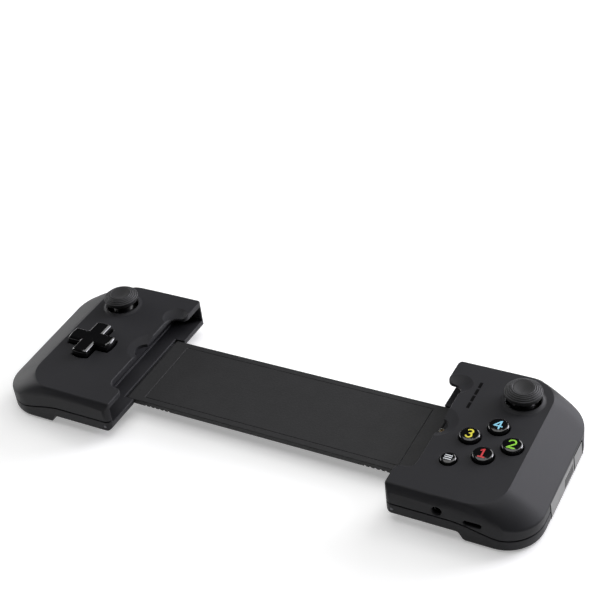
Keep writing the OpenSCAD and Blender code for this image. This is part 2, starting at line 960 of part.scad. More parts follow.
dome_wall = 0.8;
dome_rim = 3.4;
stem_radius = 1.6;
cap_top = cap_low + cap_thick;
stem_top = cap_low + cap_thick * 0.5;
module stick_shaft() {
    color(gloss_black)
        at_stick()
            translate([0, 0, stick_pivot]) {
                difference() {
                    sphere(dome_radius, $fn = 96);
                    sphere(dome_radius - dome_wall, $fn = 96);
                    translate([0, 0, dome_rim - 20])
                        cylinder(r = 20, h = 20);
                }
                cylinder(r = stem_radius, h = stem_top - stick_pivot);
                sphere(2.2);
                pin_bore(0, 0, 0, 2 * gimbal_out - 0.4, cross_pin);
            }
}

// Half section of the cap: waisted rim, ribbed shoulder and dished top
rib_height = 0.3;
cap_skirt = 1;
cap_points = concat(
    [[stem_radius + 0.03, cap_low], [3.2, cap_low], [3.2, cap_low + 1.1], [cap_radius - 1.6, cap_low + 1.1]],
    [[cap_radius - 1.4, cap_low], [cap_radius - 0.25, cap_low], [cap_radius, cap_low + cap_skirt]],
    [[cap_radius, cap_low + cap_skirt + 0.8]],
    [for (i = [0:cap_ribs - 1], step = [0, 1, 2])
        let (
            u = (i + step / 3) / cap_ribs,
            r = mix(cap_radius, cap_dish, u),
            z = mix(cap_low + cap_skirt + 0.8, cap_top, sin(90 * u))
        )
        [r - (step == 1 ? rib_height * 0.7 : 0.1), z - (step == 1 ? rib_height : 0)]],
    [[cap_dish, cap_top]],
    [for (i = [1:6]) let (u = i / 6) [cap_dish * (1 - u), cap_top - 0.9 * sin(90 * u)]],
    [[0, stem_top], [stem_radius + 0.03, stem_top]]
);
module stick_cap() {
    color(rubber_black)
        at_stick()
            rotate_extrude($fn = 96)
                polygon(cap_points);
}

// Cross pad, its ball pivot, the post under it and its contact sheet
sheet_thick = 0.8;
pad_sink = 4.3;
pad_pivot = face_height - pad_sink;
pad_top = face_height + pad_rise;
pad_flange = 9.3;
pad_dish = 0.4;
pad_dish_ball = 11;
pad_post_radius = 2.4;
pad_contact = 8;
pad_flange_thick = 1;
pad_dome_high = pad_pivot - board_top - sheet_thick - 1.1;
post_top = pad_pivot - 0.3;
pad_low = pad_pivot + 0.7;

// Half section of the pad across one arm or out to its round end
function pad_section(half) =
    [[0, pad_low], [half, pad_low], [half, pad_top - pad_bevel], [half - pad_bevel, pad_top], [0, pad_top]];

module pad_bar() {
    intersection() {
        rotate_extrude($fn = 96)
            polygon(pad_section(pad_span / 2));
        rotate([90, 0, 90])
            linear_extrude(height = pad_span * 2, center = true)
                for (s = [0, 1])
                    mirror([s, 0])
                        polygon(pad_section(pad_arm / 2));
    }
}

module at_pad() {
    translate([-pad_at[0], pad_at[1], 0])
        children();
}

module cross_pad() {
    color(gloss_black)
        at_pad()
            difference() {
                union() {
                    for (turn = [0, 90])
                        rotate([0, 0, turn])
                            pad_bar();
                    translate([0, 0, pad_pivot + 0.2])
                        cylinder(r = pad_flange, h = pad_flange_thick);
                }
                translate([0, 0, pad_pivot])
                    sphere(ball_radius + pin_clear);
                translate([0, 0, pad_top + pad_dish_ball - pad_dish])
                    sphere(pad_dish_ball, $fn = 96);
            }
}

module cross_pad_ball() {
    color(steel)
        at_pad()
            translate([0, 0, pad_pivot])
                sphere(ball_radius);
}

module cross_pad_post() {
    color(gloss_black)
        at_pad()
            difference() {
                translate([0, 0, board_top])
                    cylinder(r = pad_post_radius, h = post_top - board_top);
                translate([0, 0, pad_pivot])
                    sphere(ball_radius + pin_clear);
            }
}

dome_foot = 3.1;
dome_head = 2.1;
sheet_edge = 0.6;
module contact_dome(height) {
    translate([0, 0, board_top + sheet_thick - eps])
        cylinder(r1 = dome_foot, r2 = dome_head, h = height);
}

// Flat sheet under contact domes, out to a given distance from its middle
module contact_sheet(reach) {
    half = reach + dome_foot + sheet_edge;
    translate([-half, -half, board_top])
        cube([2 * half, 2 * half, sheet_thick]);
}

module cross_pad_membrane() {
    color(silicone)
        at_pad() {
            difference() {
                contact_sheet(pad_contact);
                translate([0, 0, board_top - 1])
                    cylinder(r = pad_post_radius + 0.3, h = sheet_thick + 2);
            }
            for (turn = [0:90:270])
                rotate([0, 0, turn])
                    translate([pad_contact, 0, 0])
                        contact_dome(pad_dome_high);
        }
}

// Domed button with a flange that stops it under the face
flange_gap = 0.2;
flange_thick = 1.3;
flange_width = 0.8;
dome_rise = 0.75;

// Height of the hollow's roof over the outer end of one half
function roof(x) =
    let (from = half_length - end_shoulder - wall)
    mix(ceiling, shoulder_low - wall * 0.6, clamp01((x - from) / end_shoulder));
flange_high = roof(group_at[0] + button_spread + button_radius + flange_width) - flange_gap;

module push_button(x, y, r, rise) {
    flange = r + flange_width;
    high = flange_high;
    side_high = face_height + rise - dome_rise;
    translate([x, y, 0])
        rotate_extrude($fn = 64)
            polygon(concat(
                [[0, high - flange_thick], [flange, high - flange_thick], [flange, high], [r, high]],
                [[r, side_high]],
                [for (i = [1:6]) let (a = 15 * i) [r * cos(a * 0.75) * (1 - smooth((i - 3) / 3)),
                    side_high + dome_rise * sin(a)]]
            ));
}

module button_bottom() {
    color(gloss_black)
        push_button(button_places[0][0], button_places[0][1], button_radius, button_rise);
}

module button_right() {
    color(gloss_black)
        push_button(button_places[1][0], button_places[1][1], button_radius, button_rise);
}

module button_left() {
    color(gloss_black)
        push_button(button_places[2][0], button_places[2][1], button_radius, button_rise);
}

module button_top() {
    color(gloss_black)
        push_button(button_places[3][0], button_places[3][1], button_radius, button_rise);
}

module menu_button() {
    color(gloss_black)
        push_button(menu_at[0], menu_at[1], menu_radius, button_rise * 0.6);
}

press_gap = 0.25;
module button_membrane() {
    dome_high = flange_high - flange_thick - button_travel - press_gap - board_top - sheet_thick;
    tab_half = dome_foot + sheet_edge / 2;
    color(silicone) {
        translate([group_at[0], group_at[1], 0])
            contact_sheet(button_spread);
        translate([menu_at[0] - tab_half, menu_at[1] - tab_half, board_top])
            cube([2 * tab_half, menu_y - button_spread + tab_half, sheet_thick]);
        for (b = concat(button_places, [menu_at]))
            translate([b[0], b[1], 0])
                contact_dome(dome_high);
    }
}

// Bumper on the far wall, with a rib that works the switch behind it
bumper_skin = wall;
rib_x = bumper_from + 2.2;
rib_width = 3.4;
switch_width = 4;
switch_front = trigger_pin_at - 0.9;
module bumper() {
    color(soft_black)
        intersection() {
            union() {
                skin(0, bumper_skin, bumper_low, bumper_high);
                translate([rib_x - rib_width / 2, switch_front + 1.2, bumper_low])
                    cube([rib_width, depth / 2 - bumper_skin / 2 - switch_front - 1.2, 1.6]);
            }
            far_window(bumper_from, bumper_to, bumper_low, bumper_high, bumper_back);
        }
}

module bumper_switch() {
    color(gloss_black) {
        translate([rib_x - switch_width / 2, switch_front - 4.2, board_top])
            cube([switch_width, 4, bumper_low + 1.6 - board_top]);
        translate([rib_x - 1.2, switch_front - 0.3, bumper_low])
            cube([2.4, 0.5, 1.2]);
    }
}

// Trigger: curved paddle on a hub that turns on a pin
trigger_pin_radius = 0.75;
hub_radius = 1.8;
trigger_skin = 1.7;
trigger_bevel = 1.2;
module trigger_paddle() {
    difference() {
        loft([
            flat_ring(outline(trigger_bevel - trigger_reach, cavity_start), trigger_low),
            flat_ring(outline(-trigger_reach, cavity_start), trigger_low + trigger_bevel),
            flat_ring(outline(-trigger_reach, cavity_start), trigger_high - trigger_bevel),
            flat_ring(outline(trigger_bevel - trigger_reach, cavity_start), trigger_high)
        ]);
        translate([0, 0, -1])
            linear_extrude(height = face_height)
                polygon(outline(trigger_skin, inside));
    }
}

module trigger() {
    color(gloss_black)
        difference() {
            union() {
                intersection() {
                    trigger_paddle();
                    far_window(trigger_from, trigger_to, trigger_low, trigger_high, bumper_back);
                }
                translate([trigger_from, trigger_pin_at, trigger_pin_z])
                    rotate([0, 90, 0])
                        cylinder(r = hub_radius, h = hub_out - trigger_from);
                translate([trigger_from, trigger_pin_at, trigger_pin_z - 1])
                    cube([hub_out - trigger_from, 4.2, 2]);
            }
            translate([trigger_from - 1, trigger_pin_at, trigger_pin_z])
                rotate([0, 90, 0])
                    cylinder(r = trigger_pin_radius + pin_clear, h = hub_out - trigger_from + 2);
        }
}

module trigger_pin() {
    color(steel)
        translate([trigger_from - lug_gap - lug_thick, trigger_pin_at, trigger_pin_z])
            rotate([0, 90, 0])
                cylinder(r = trigger_pin_radius - 0.02, h = hub_out - trigger_from + 2 * (lug_gap + lug_thick));
}

module charge_light_guide() {
    color("#0c0c0e") {
        translate([0, 0, -0.02])
            light_slots(0);
        translate([cavity_start + 0.1, light_at - light_pitch * light_count / 2, ceiling - 2])
            cube([2.4, light_pitch * light_count, 1.95]);
    }
}

module headphone_socket() {
    color(gloss_black)
        difference() {
            translate([jack_at - 3, -depth / 2 + wall + 0.4, board_top])
                cube([6, jack_depth, jack_z + jack_radius + 0.4 - board_top]);
            translate([jack_at, -depth / 2 + wall, jack_z])
                rotate([-90, 0, 0])
                    cylinder(r = jack_radius, h = jack_depth - 0.8);
        }
}

module charging_socket() {
    color(steel)
        difference() {
            translate([port_at - 4.4, board_edge + 0.4, board_top])
                cube([8.8, 5, port_z + port_height / 2 + 0.3 - board_top]);
            port_slot(port_width - 0.4, port_height - 0.4, 1 - board_edge, 5);
        }
}

module phone_plug() {
    color(steel) {
        translate([bay_end - plug_reach, -plug_width / 2, plug_z - plug_thick / 2])
            cube([plug_reach + bay_wall + 1, plug_width, plug_thick]);
        translate([cavity_start + 0.1, -5, board_top])
            cube([2.8, 10, plug_z + 1.5 - board_top]);
    }
}

cell_gap = 2.6;
cell_y = -4.75;
cell_glue = 0.02;
module battery_cell() {
    color("#5d6066")
        mirror([1, 0, 0])
            translate([grip_start + cell_gap, cell_y - cell_length / 2, wall + cell_glue])
                cube([cell_width, cell_length, cell_thick]);
}

// The origin lies on the table under the middle of the whole controller
module on_table() {
    translate([0, -trigger_reach / 2, 0])
        children();
}

module left() {
    mirror([1, 0, 0])
        children();
}

on_table() bridge_strap();
on_table() bridge_cover();
on_table() bridge_flex_cable();
on_table() left() hinge_pin();  // left_hinge_pin
on_table() hinge_pin();  // right_hinge_pin
on_table() left_front_housing();
on_table() right_front_housing();
on_table() left_rear_housing();
on_table() right_rear_housing();
on_table() left() board();  // left_board
on_table() board();  // right_board
on_table() left() screws();  // left_screws
on_table() screws();  // right_screws
on_table() left() stick_base();  // left_stick_base
on_table() stick_base();  // right_stick_base
on_table() left() stick_gimbal();  // left_stick_gimbal
on_table() stick_gimbal();  // right_stick_gimbal
on_table() left() stick_shaft();  // left_stick_shaft
on_table() stick_shaft();  // right_stick_shaft
on_table() left() stick_cap();  // left_stick_cap
on_table() stick_cap();  // right_stick_cap
on_table() cross_pad();
on_table() cross_pad_ball();
on_table() cross_pad_post();
on_table() cross_pad_membrane();
on_table() button_bottom();
on_table() button_right();
on_table() button_left();
on_table() button_top();
on_table() menu_button();
on_table() button_membrane();
on_table() left() bumper();  // left_bumper
on_table() bumper();  // right_bumper
on_table() left() bumper_switch();  // left_bumper_switch
on_table() bumper_switch();  // right_bumper_switch
on_table() left() trigger();  // left_trigger
on_table() trigger();  // right_trigger
on_table() left() trigger_pin();  // left_trigger_pin
on_table() trigger_pin();  // right_trigger_pin
on_table() charge_light_guide();
on_table() headphone_socket();
on_table() charging_socket();
on_table() phone_plug();
on_table() end_panel();
on_table() end_cover();
on_table() battery_cell();
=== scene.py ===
import json
import math

import bmesh
import bpy
from mathutils import Matrix, Vector
from mathutils.bvhtree import BVHTree
from mathutils.geometry import delaunay_2d_cdt


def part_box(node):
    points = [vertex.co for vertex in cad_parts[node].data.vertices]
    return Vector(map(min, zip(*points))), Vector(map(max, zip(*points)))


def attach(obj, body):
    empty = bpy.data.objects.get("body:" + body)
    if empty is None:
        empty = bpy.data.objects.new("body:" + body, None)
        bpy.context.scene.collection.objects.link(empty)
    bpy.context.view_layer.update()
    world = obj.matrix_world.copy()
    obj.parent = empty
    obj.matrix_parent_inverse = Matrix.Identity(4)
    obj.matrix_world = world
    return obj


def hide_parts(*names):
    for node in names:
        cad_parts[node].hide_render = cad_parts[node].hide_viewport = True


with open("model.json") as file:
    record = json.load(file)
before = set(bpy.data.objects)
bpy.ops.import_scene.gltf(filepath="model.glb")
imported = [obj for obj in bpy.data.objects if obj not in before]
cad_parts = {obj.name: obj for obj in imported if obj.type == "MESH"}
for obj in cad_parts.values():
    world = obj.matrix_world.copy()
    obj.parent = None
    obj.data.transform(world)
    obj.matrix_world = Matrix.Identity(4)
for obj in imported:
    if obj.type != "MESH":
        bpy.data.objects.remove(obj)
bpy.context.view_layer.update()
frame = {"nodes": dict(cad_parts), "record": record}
nodes = frame["nodes"]
bodies = frame["record"]["behaviour"]["bodies"]
bodyOf = {node: body for body, members in bodies.items() for node in members}
mm = 0.001
print("frame loaded:", len(nodes), "nodes")


def linear(hexColour):
    channels = [int(hexColour[i:i + 2], 16) / 255 for i in (1, 3, 5)]
    return tuple(c / 12.92 if c <= 0.04045 else ((c + 0.055) / 1.055) ** 2.4 for c in channels) + (1.0,)


# adds one node, sets its sockets or properties, and links what feeds it
def addNode(tree, kind, settings=None, links=None):
    node = tree.nodes.new(kind)
    for key, value in (settings or {}).items():
        if isinstance(key, int) or key in node.inputs:
            node.inputs[key].default_value = value
        else:
            setattr(node, key, value)
    for key, source in (links or {}).items():
        tree.links.new(source, node.inputs[key])
    return node


def startMaterial(name):
    material = bpy.data.materials.new(name)
    material.use_nodes = True
    material.node_tree.nodes.clear()
    return material, material.node_tree


# Moulded plastic and rubber: two close tones in soft patches, a fine grain that lifts the surface and
# breaks up the gloss. The grain of the real mould is finer than a pixel, so it is drawn coarser to show.
def mouldedMaterial(name, look):
    material, tree = startMaterial(name)
    place = addNode(tree, "ShaderNodeTexCoord").outputs["Object"]
    patches = addNode(tree, "ShaderNodeTexNoise",
                      {"Scale": 1 / (look["patchMm"] * mm), "Detail": 3.0, "Roughness": 0.55},
                      {"Vector": place})
    tone = addNode(tree, "ShaderNodeMix",
                   {"data_type": "RGBA", 6: linear(look["dark"]), 7: linear(look["light"])},
                   {0: patches.outputs["Fac"]})
    grain = addNode(tree, "ShaderNodeTexNoise",
                    {"Scale": 1 / (look["grainMm"] * mm), "Detail": 4.0, "Roughness": 0.65},
                    {"Vector": place})
    gloss = addNode(tree, "ShaderNodeMapRange",
                    {"From Min": 0.3, "From Max": 0.7,
                     "To Min": look["roughness"] - look["roughSpread"],
                     "To Max": look["roughness"] + look["roughSpread"]},
                    {"Value": grain.outputs["Fac"]})
    relief = addNode(tree, "ShaderNodeBump",
                     {"Strength": look["relief"], "Distance": look["grainMm"] * mm * 0.25},
                     {"Height": grain.outputs["Fac"]})
    shader = addNode(tree, "ShaderNodeBsdfPrincipled",
                     {"IOR": look["ior"], "Specular IOR Level": look["specular"],
                      "Coat Weight": look.get("coat", 0.0), "Coat Roughness": 0.06,
                      "Sheen Weight": look.get("sheen", 0.0), "Sheen Roughness": 0.45},
                     {"Base Color": tone.outputs[2], "Roughness": gloss.outputs["Result"],
                      "Normal": relief.outputs["Normal"]})
    addNode(tree, "ShaderNodeOutputMaterial", links={"Surface": shader.outputs["BSDF"]})
    return material


# Bare and plated metal: fine scratches along one direction, from a noise stretched that way
def metalMaterial(name, look):
    material, tree = startMaterial(name)
    place = addNode(tree, "ShaderNodeTexCoord").outputs["Object"]
    stretch = addNode(tree, "ShaderNodeMapping", {"Scale": look["stretch"]}, {"Vector": place})
    scratches = addNode(tree, "ShaderNodeTexNoise",
                        {"Scale": 1 / (look["scratchMm"] * mm), "Detail": 3.0},
                        {"Vector": stretch.outputs["Vector"]})
    tone = addNode(tree, "ShaderNodeMix",
                   {"data_type": "RGBA", 6: linear(look["dark"]), 7: linear(look["light"])},
                   {0: scratches.outputs["Fac"]})
    gloss = addNode(tree, "ShaderNodeMapRange",
                    {"To Min": look["roughness"] * 0.7, "To Max": look["roughness"] * 1.3},
                    {"Value": scratches.outputs["Fac"]})
    relief = addNode(tree, "ShaderNodeBump",
                     {"Strength": 0.12, "Distance": look["scratchMm"] * mm * 0.1},
                     {"Height": scratches.outputs["Fac"]})
    shader = addNode(tree, "ShaderNodeBsdfPrincipled", {"Metallic": 1.0},
                     {"Base Color": tone.outputs[2], "Roughness": gloss.outputs["Result"],
                      "Normal": relief.outputs["Normal"]})
    addNode(tree, "ShaderNodeOutputMaterial", links={"Surface": shader.outputs["BSDF"]})
    return material


waveLength = 0.314  # of one band of the wave texture at scale 1


# Board and flat cable: copper tracks under a clear lacquer show as slightly lighter lines
def trackMaterial(name, look):
    material, tree = startMaterial(name)
    place = addNode(tree, "ShaderNodeTexCoord").outputs["Object"]
    tracks = addNode(tree, "ShaderNodeTexWave",
                     {"wave_type": "BANDS", "bands_direction": look["along"],
                      "Scale": waveLength / (look["pitchMm"] * mm), "Distortion": look["wander"],
                      "Detail": 0.0},
                     {"Vector": place})
    edge = addNode(tree, "ShaderNodeMapRange", {"From Min": 0.55, "From Max": 0.65},
                   {"Value": tracks.outputs["Fac"]})
    tone = addNode(tree, "ShaderNodeMix",
                   {"data_type": "RGBA", 6: linear(look["dark"]), 7: linear(look["light"])},
                   {0: edge.outputs["Result"]})
    relief = addNode(tree, "ShaderNodeBump", {"Strength": 0.2, "Distance": 0.03 * mm},
                     {"Height": edge.outputs["Result"]})
    shader = addNode(tree, "ShaderNodeBsdfPrincipled",
                     {"Roughness": look["roughness"], "IOR": 1.5},
                     {"Base Color": tone.outputs[2], "Normal": relief.outputs["Normal"]})
    addNode(tree, "ShaderNodeOutputMaterial", links={"Surface": shader.outputs["BSDF"]})
    return material


finishes = {
    # soft-touch lacquer on ABS: very dull, a faint velvet sheen at the edges, no clear highlights
    "soft_black_plastic": mouldedMaterial("softTouchAbs", {
        "dark": "#242426", "light": "#29292c", "patchMm": 22, "grainMm": 0.5, "relief": 0.10,
        "roughness": 0.5, "roughSpread": 0.05, "ior": 1.5, "specular": 0.18, "sheen": 0.03}),
    # polished ABS: nearly black, sharp highlights that follow the bevels
    "gloss_black_plastic": mouldedMaterial("polishedAbs", {
        "dark": "#09090a", "light": "#0d0d0e", "patchMm": 9, "grainMm": 2.5, "relief": 0.015,
        "roughness": 0.13, "roughSpread": 0.03, "ior": 1.53, "specular": 0.5, "coat": 0.35}),
    # moulded thermoplastic rubber of the stick caps: dull and slightly dusty
    "stick_rubber": mouldedMaterial("stickRubber", {
        "dark": "#1f1f20", "light": "#262627", "patchMm": 5, "grainMm": 0.45, "relief": 0.16,
        "roughness": 0.62, "roughSpread": 0.06, "ior": 1.5, "specular": 0.35, "sheen": 0.05}),
    # moulded polyurethane strap: dull, with a leather-like grain from the mould
    "strap_rubber": mouldedMaterial("strapUrethane", {
        "dark": "#1b1b1c", "light": "#242425", "patchMm": 8, "grainMm": 0.9, "relief": 0.3,
        "roughness": 0.58, "roughSpread": 0.07, "ior": 1.5, "specular": 0.35, "sheen": 0.04}),
    # milky silicone of the contact sheets
    "silicone": mouldedMaterial("milkySilicone", {
        "dark": "#a9aaa6", "light": "#bdbdb8", "patchMm": 6, "grainMm": 0.6, "relief": 0.08,
        "roughness": 0.5, "roughSpread": 0.06, "ior": 1.42, "specular": 0.4}),
    # ground steel of pins, screws and pivot ball: bright, with turning marks
    "steel": metalMaterial("groundSteel", {
        "dark": "#8f9194", "light": "#c2c4c7", "scratchMm": 0.25, "roughness": 0.28,
        "stretch": (1.0, 0.15, 1.0)}),
    # glass-fibre board under green solder mask: waxy gloss, tracks just visible
    "circuit_board": trackMaterial("solderMask", {
        "dark": "#0f4a2c", "light": "#1a6a40", "along": "DIAGONAL", "pitchMm": 1.6, "wander": 3.0,
        "roughness": 0.35}),
    # polyimide film over copper: amber with even straight tracks
    "flex_cable": trackMaterial("amberFilm", {
        "dark": "#8a4a12", "light": "#c47a2c", "along": "Y", "pitchMm": 0.8, "wander": 0.0,
        "roughness": 0.3}),
    # smoked polycarbonate over the lights: black until lit, worn to a dull satin
    "light_window": mouldedMaterial("smokedPolycarbonate", {
        "dark": "#020202", "light": "#040405", "patchMm": 3, "grainMm": 1.5, "relief": 0.01,
        "roughness": 0.4, "roughSpread": 0.03, "ior": 1.4, "specular": 0.15}),
    # nickel plate on the plug and socket shells
    "plug_metal": metalMaterial("nickelPlate", {
        "dark": "#a5a49e", "light": "#d2d0c8", "scratchMm": 0.4, "roughness": 0.22,
        "stretch": (0.2, 1.0, 1.0)}),
    # crimped aluminium foil pouch of the cell
    "cell_foil": metalMaterial("pouchFoil", {
        "dark": "#77797d", "light": "#9a9ca0", "scratchMm": 3.0, "roughness": 0.4,
        "stretch": (1.0, 1.0, 1.0)}),
}
# satin ABS of the inset pieces on the outer end, drawn grey as painted light: the light from the right
# falling on that end
paintedLightGrey = mouldedMaterial("paintedLightGreyAbs", {
    "dark": "#6b6b6a", "light": "#777775", "patchMm": 10, "grainMm": 0.5, "relief": 0.08,
    "roughness": 0.42, "roughSpread": 0.05, "ior": 1.5, "specular": 0.4})
# satin black acetal of the stick levers: slippery, with a broad dull shine
satinBlack = mouldedMaterial("satinAcetal", {
    "dark": "#0b0b0c", "light": "#101011", "patchMm": 6, "grainMm": 0.8, "relief": 0.03,
    "roughness": 0.34, "roughSpread": 0.04, "ior": 1.48, "specular": 0.35})
# near-black matt for the seams and the sound slots, painted shade: it stands for the shade inside those gaps
# and has no shine at any angle
paintedShadeBlack = mouldedMaterial("paintedSlotShade", {
    "dark": "#060606", "light": "#0b0b0b", "patchMm": 2, "grainMm": 0.4, "relief": 0.2,
    "roughness": 0.9, "roughSpread": 0.05, "ior": 1.2, "specular": 0.02})
# blackened steel of the hinge pins: a dim grey dot where an end shows
blackenedSteel = metalMaterial("blackenedSteel", {
    "dark": "#565659", "light": "#6c6c70", "scratchMm": 0.25, "roughness": 0.45,
    "stretch": (1.0, 0.15, 1.0)})
# painted highlight on the crests of the stick ribs: a lighter rubber, so that the crests show as lit lines
ribCrestHighlight = mouldedMaterial("ribCrestHighlight", {
    "dark": "#2e2e30", "light": "#38383a", "patchMm": 3, "grainMm": 0.45, "relief": 0.1,
    "roughness": 0.55, "roughSpread": 0.05, "ior": 1.5, "specular": 0.4})
# gold flash on contacts: warm, soft-edged highlights
contactGold = metalMaterial("contactGold", {
    "dark": "#b98a3a", "light": "#e0b765", "scratchMm": 0.3, "roughness": 0.25,
    "stretch": (0.3, 1.0, 1.0)})
# pad-printed inks: dense, slightly glossy, with a faint screen of the print in them
inkColours = {"red": ("#c2383d", "#d8474b"), "green": ("#86c93a", "#9be24c"),
              "yellow": ("#d9cf3f", "#efe65a"), "blue": ("#7fcbe6", "#9fdcf2"),
              "white": ("#cfd3d6", "#e6e9eb")}
inks = {name: mouldedMaterial(name + "PrintInk", {
    "dark": pair[0], "light": pair[1], "patchMm": 1.2, "grainMm": 0.35, "relief": 0.06,
    "roughness": 0.3, "roughSpread": 0.05, "ior": 1.5, "specular": 0.5})
    for name, pair in inkColours.items()}

slotOf = {part["node"]: part["material_slot"] for part in frame["record"]["subparts"]}
for nodeName, cadObject in nodes.items():
    cadObject.data.materials.clear()
    cadObject.data.materials.append(finishes[slotOf[nodeName]])
print("materials made:", len(bpy.data.materials))


def newObject(name, mesh):
    made = bpy.data.objects.new(name, mesh)
    bpy.context.scene.collection.objects.link(made)
    return made


# turns what the modifiers give into a plain mesh and drops the modifiers
def bakeModifiers(piece):
    view = bpy.context.evaluated_depsgraph_get()
    baked = bpy.data.meshes.new_from_object(piece.evaluated_get(view))
    piece.modifiers.clear()
    piece.data = baked


# least upward part of a flat face's normal, how near its level an edge has to be, and the least angle in
# degrees at which the shoulder leaves it
faceLook = {"upward": 0.999, "levelMm": 0.03, "leaves": 6}


# Smooth shading with sharp lines where faces meet at more than a given angle. The line round the flat face
# of a housing is sharp too, though the shoulder leaves it at a low angle.
def smoothFaces(piece, degrees, faceLine=False):
    mesh = piece.data
    mesh.polygons.foreach_set("use_smooth", [True] * len(mesh.polygons))
    mesh.set_sharp_from_angle(angle=math.radians(degrees))
    if faceLine:
        flat = [face for face in mesh.polygons if face.normal.z > faceLook["upward"]]
        level = max(flat, key=lambda face: face.area).center.z
        leaves = math.radians(faceLook["leaves"])
        shape = bmesh.new()
        shape.from_mesh(mesh)
        for edge in shape.edges:
            onFace = all(abs(v.co.z - level) < faceLook["levelMm"] * mm for v in edge.verts)
            if onFace and len(edge.link_faces) == 2 and edge.calc_face_angle() > leaves:
                edge.smooth = False
        shape.to_mesh(mesh)
        shape.free()
    even = piece.modifiers.new("evenNormals", "WEIGHTED_NORMAL")
    even.keep_sharp = True
    bakeModifiers(piece)


# Evens the slope of an end shoulder, which then takes the light as one plane up to its crease. It fades
# out round the corners, where the shoulder turns to the near and far sides.
def evenShoulder(piece, shoulder):
    mesh = piece.data
    slope = math.radians(shoulder["slope"])
    least, most = shoulder["lean"]
    none, full = shoulder["outward"]
    starts = max(abs(v.co.x) for v in mesh.vertices) - shoulder["wideMm"] * mm
    normals = [corner.vector.copy() for corner in mesh.corner_normals]
    for face in mesh.polygons:
        lean = face.normal.xy.length
        if not least < lean < most or face.normal.z < 0 or abs(face.center.x) < starts:
            continue
        for corner in face.loop_indices:
            outward = normals[corner].xy.normalized()
            share = min(max((abs(outward.x) - none) / (full - none), 0.0), 1.0)
            even = outward.to_3d() * math.sin(slope) + Vector((0, 0, math.cos(slope)))
            normals[corner] = normals[corner].lerp(even, share).normalized()
    mesh.normals_split_custom_set(normals)


# draws the thumb dish in the middle of a node's top at a share of the solid's depth
def easeDish(piece, node, dish):
    low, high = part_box(node)
    middle = (low + high) / 2
    for vertex in piece.data.vertices:
        away = (vertex.co.xy - middle.xy).length
        if away < dish["reachMm"] * mm and vertex.co.z > high.z - dish["deepMm"] * mm:
            vertex.co.z = high.z - (high.z - vertex.co.z) * dish["share"]


# puts vertices that the edge breaking threw off the CAD surface back on it
def settleStrays(piece, node, reachMm):
    mesh = nodes[node].data
    surface = BVHTree.FromPolygons([tuple(v.co) for v in mesh.vertices],
                                   [tuple(p.vertices) for p in mesh.polygons])
    for vertex in piece.data.vertices:
        spot, _, _, gap = surface.find_nearest(vertex.co)
        if gap > reachMm * mm:
            vertex.co = spot


# how much more than itself a face's triangles cover when it counts as folded, and the fineness of the refill
foldLook = {"times": 1.001, "moreMm2": 0.01, "leastCorners": 5, "fineMm": 1e-5}
insideOutline = 1  # the kind of filling that delaunay_2d_cdt gives: triangles inside the outline


# faces whose triangles cover more than the face does, because its outline crosses itself
def foldedFaces(mesh):
    mesh.calc_loop_triangles()
    covered = [0.0] * len(mesh.polygons)
    for part in mesh.loop_triangles:
        covered[part.polygon_index] += part.area
    return [face for face in mesh.polygons
            if covered[face.index] > face.area * foldLook["times"] + foldLook["moreMm2"] * mm * mm]


# how many times a flat outline goes round a point, counted anticlockwise
def turnsRound(point, outline):
    turns = 0
    for start, end in zip(outline, outline[1:] + outline[:1]):
        side = (end - start).cross(point - start)
        if start.y <= point.y < end.y and side > 0:
            turns += 1
        elif end.y <= point.y < start.y and side < 0:
            turns -= 1
    return turns


# Where an edge break is wider than the short sides of a corner, the flat face beside it folds back on itself
# there and would fill its own opening. Such a face is filled again inside its outline.
def refillFolded(piece):
    folded = {face.index for face in foldedFaces(piece.data)
              if len(face.vertices) >= foldLook["leastCorners"]}
    if not folded:
        return
    shape = bmesh.new()
    shape.from_mesh(piece.data)
    spoilt = [face for face in shape.faces if face.index in folded]
    for face in spoilt:
        turn = face.normal.to_track_quat("Z", "Y").to_matrix()
        middle = face.calc_center_median()
        corners = list(face.verts)
        outline = [((corner.co - middle) @ turn).xy / mm for corner in corners]
        spots, _, triples, sources, _, _ = delaunay_2d_cdt(
            outline, [], [list(range(len(outline)))], insideOutline, foldLook["fineMm"])
        points = [corners[source[0]] if source else shape.verts.new(middle + turn @ (spot * mm).to_3d())
                  for spot, source in zip(spots, sources)]
        for triple in triples:
            corner = [points[i] for i in triple]
            centre = sum((spots[i] for i in triple), Vector((0, 0))) / 3
            if turnsRound(centre, outline) > 0 and shape.faces.get(corner) is None:
                shape.faces.new(corner)
    bmesh.ops.delete(shape, geom=spoilt, context="FACES_ONLY")
    shape.to_mesh(piece.data)
    shape.free()


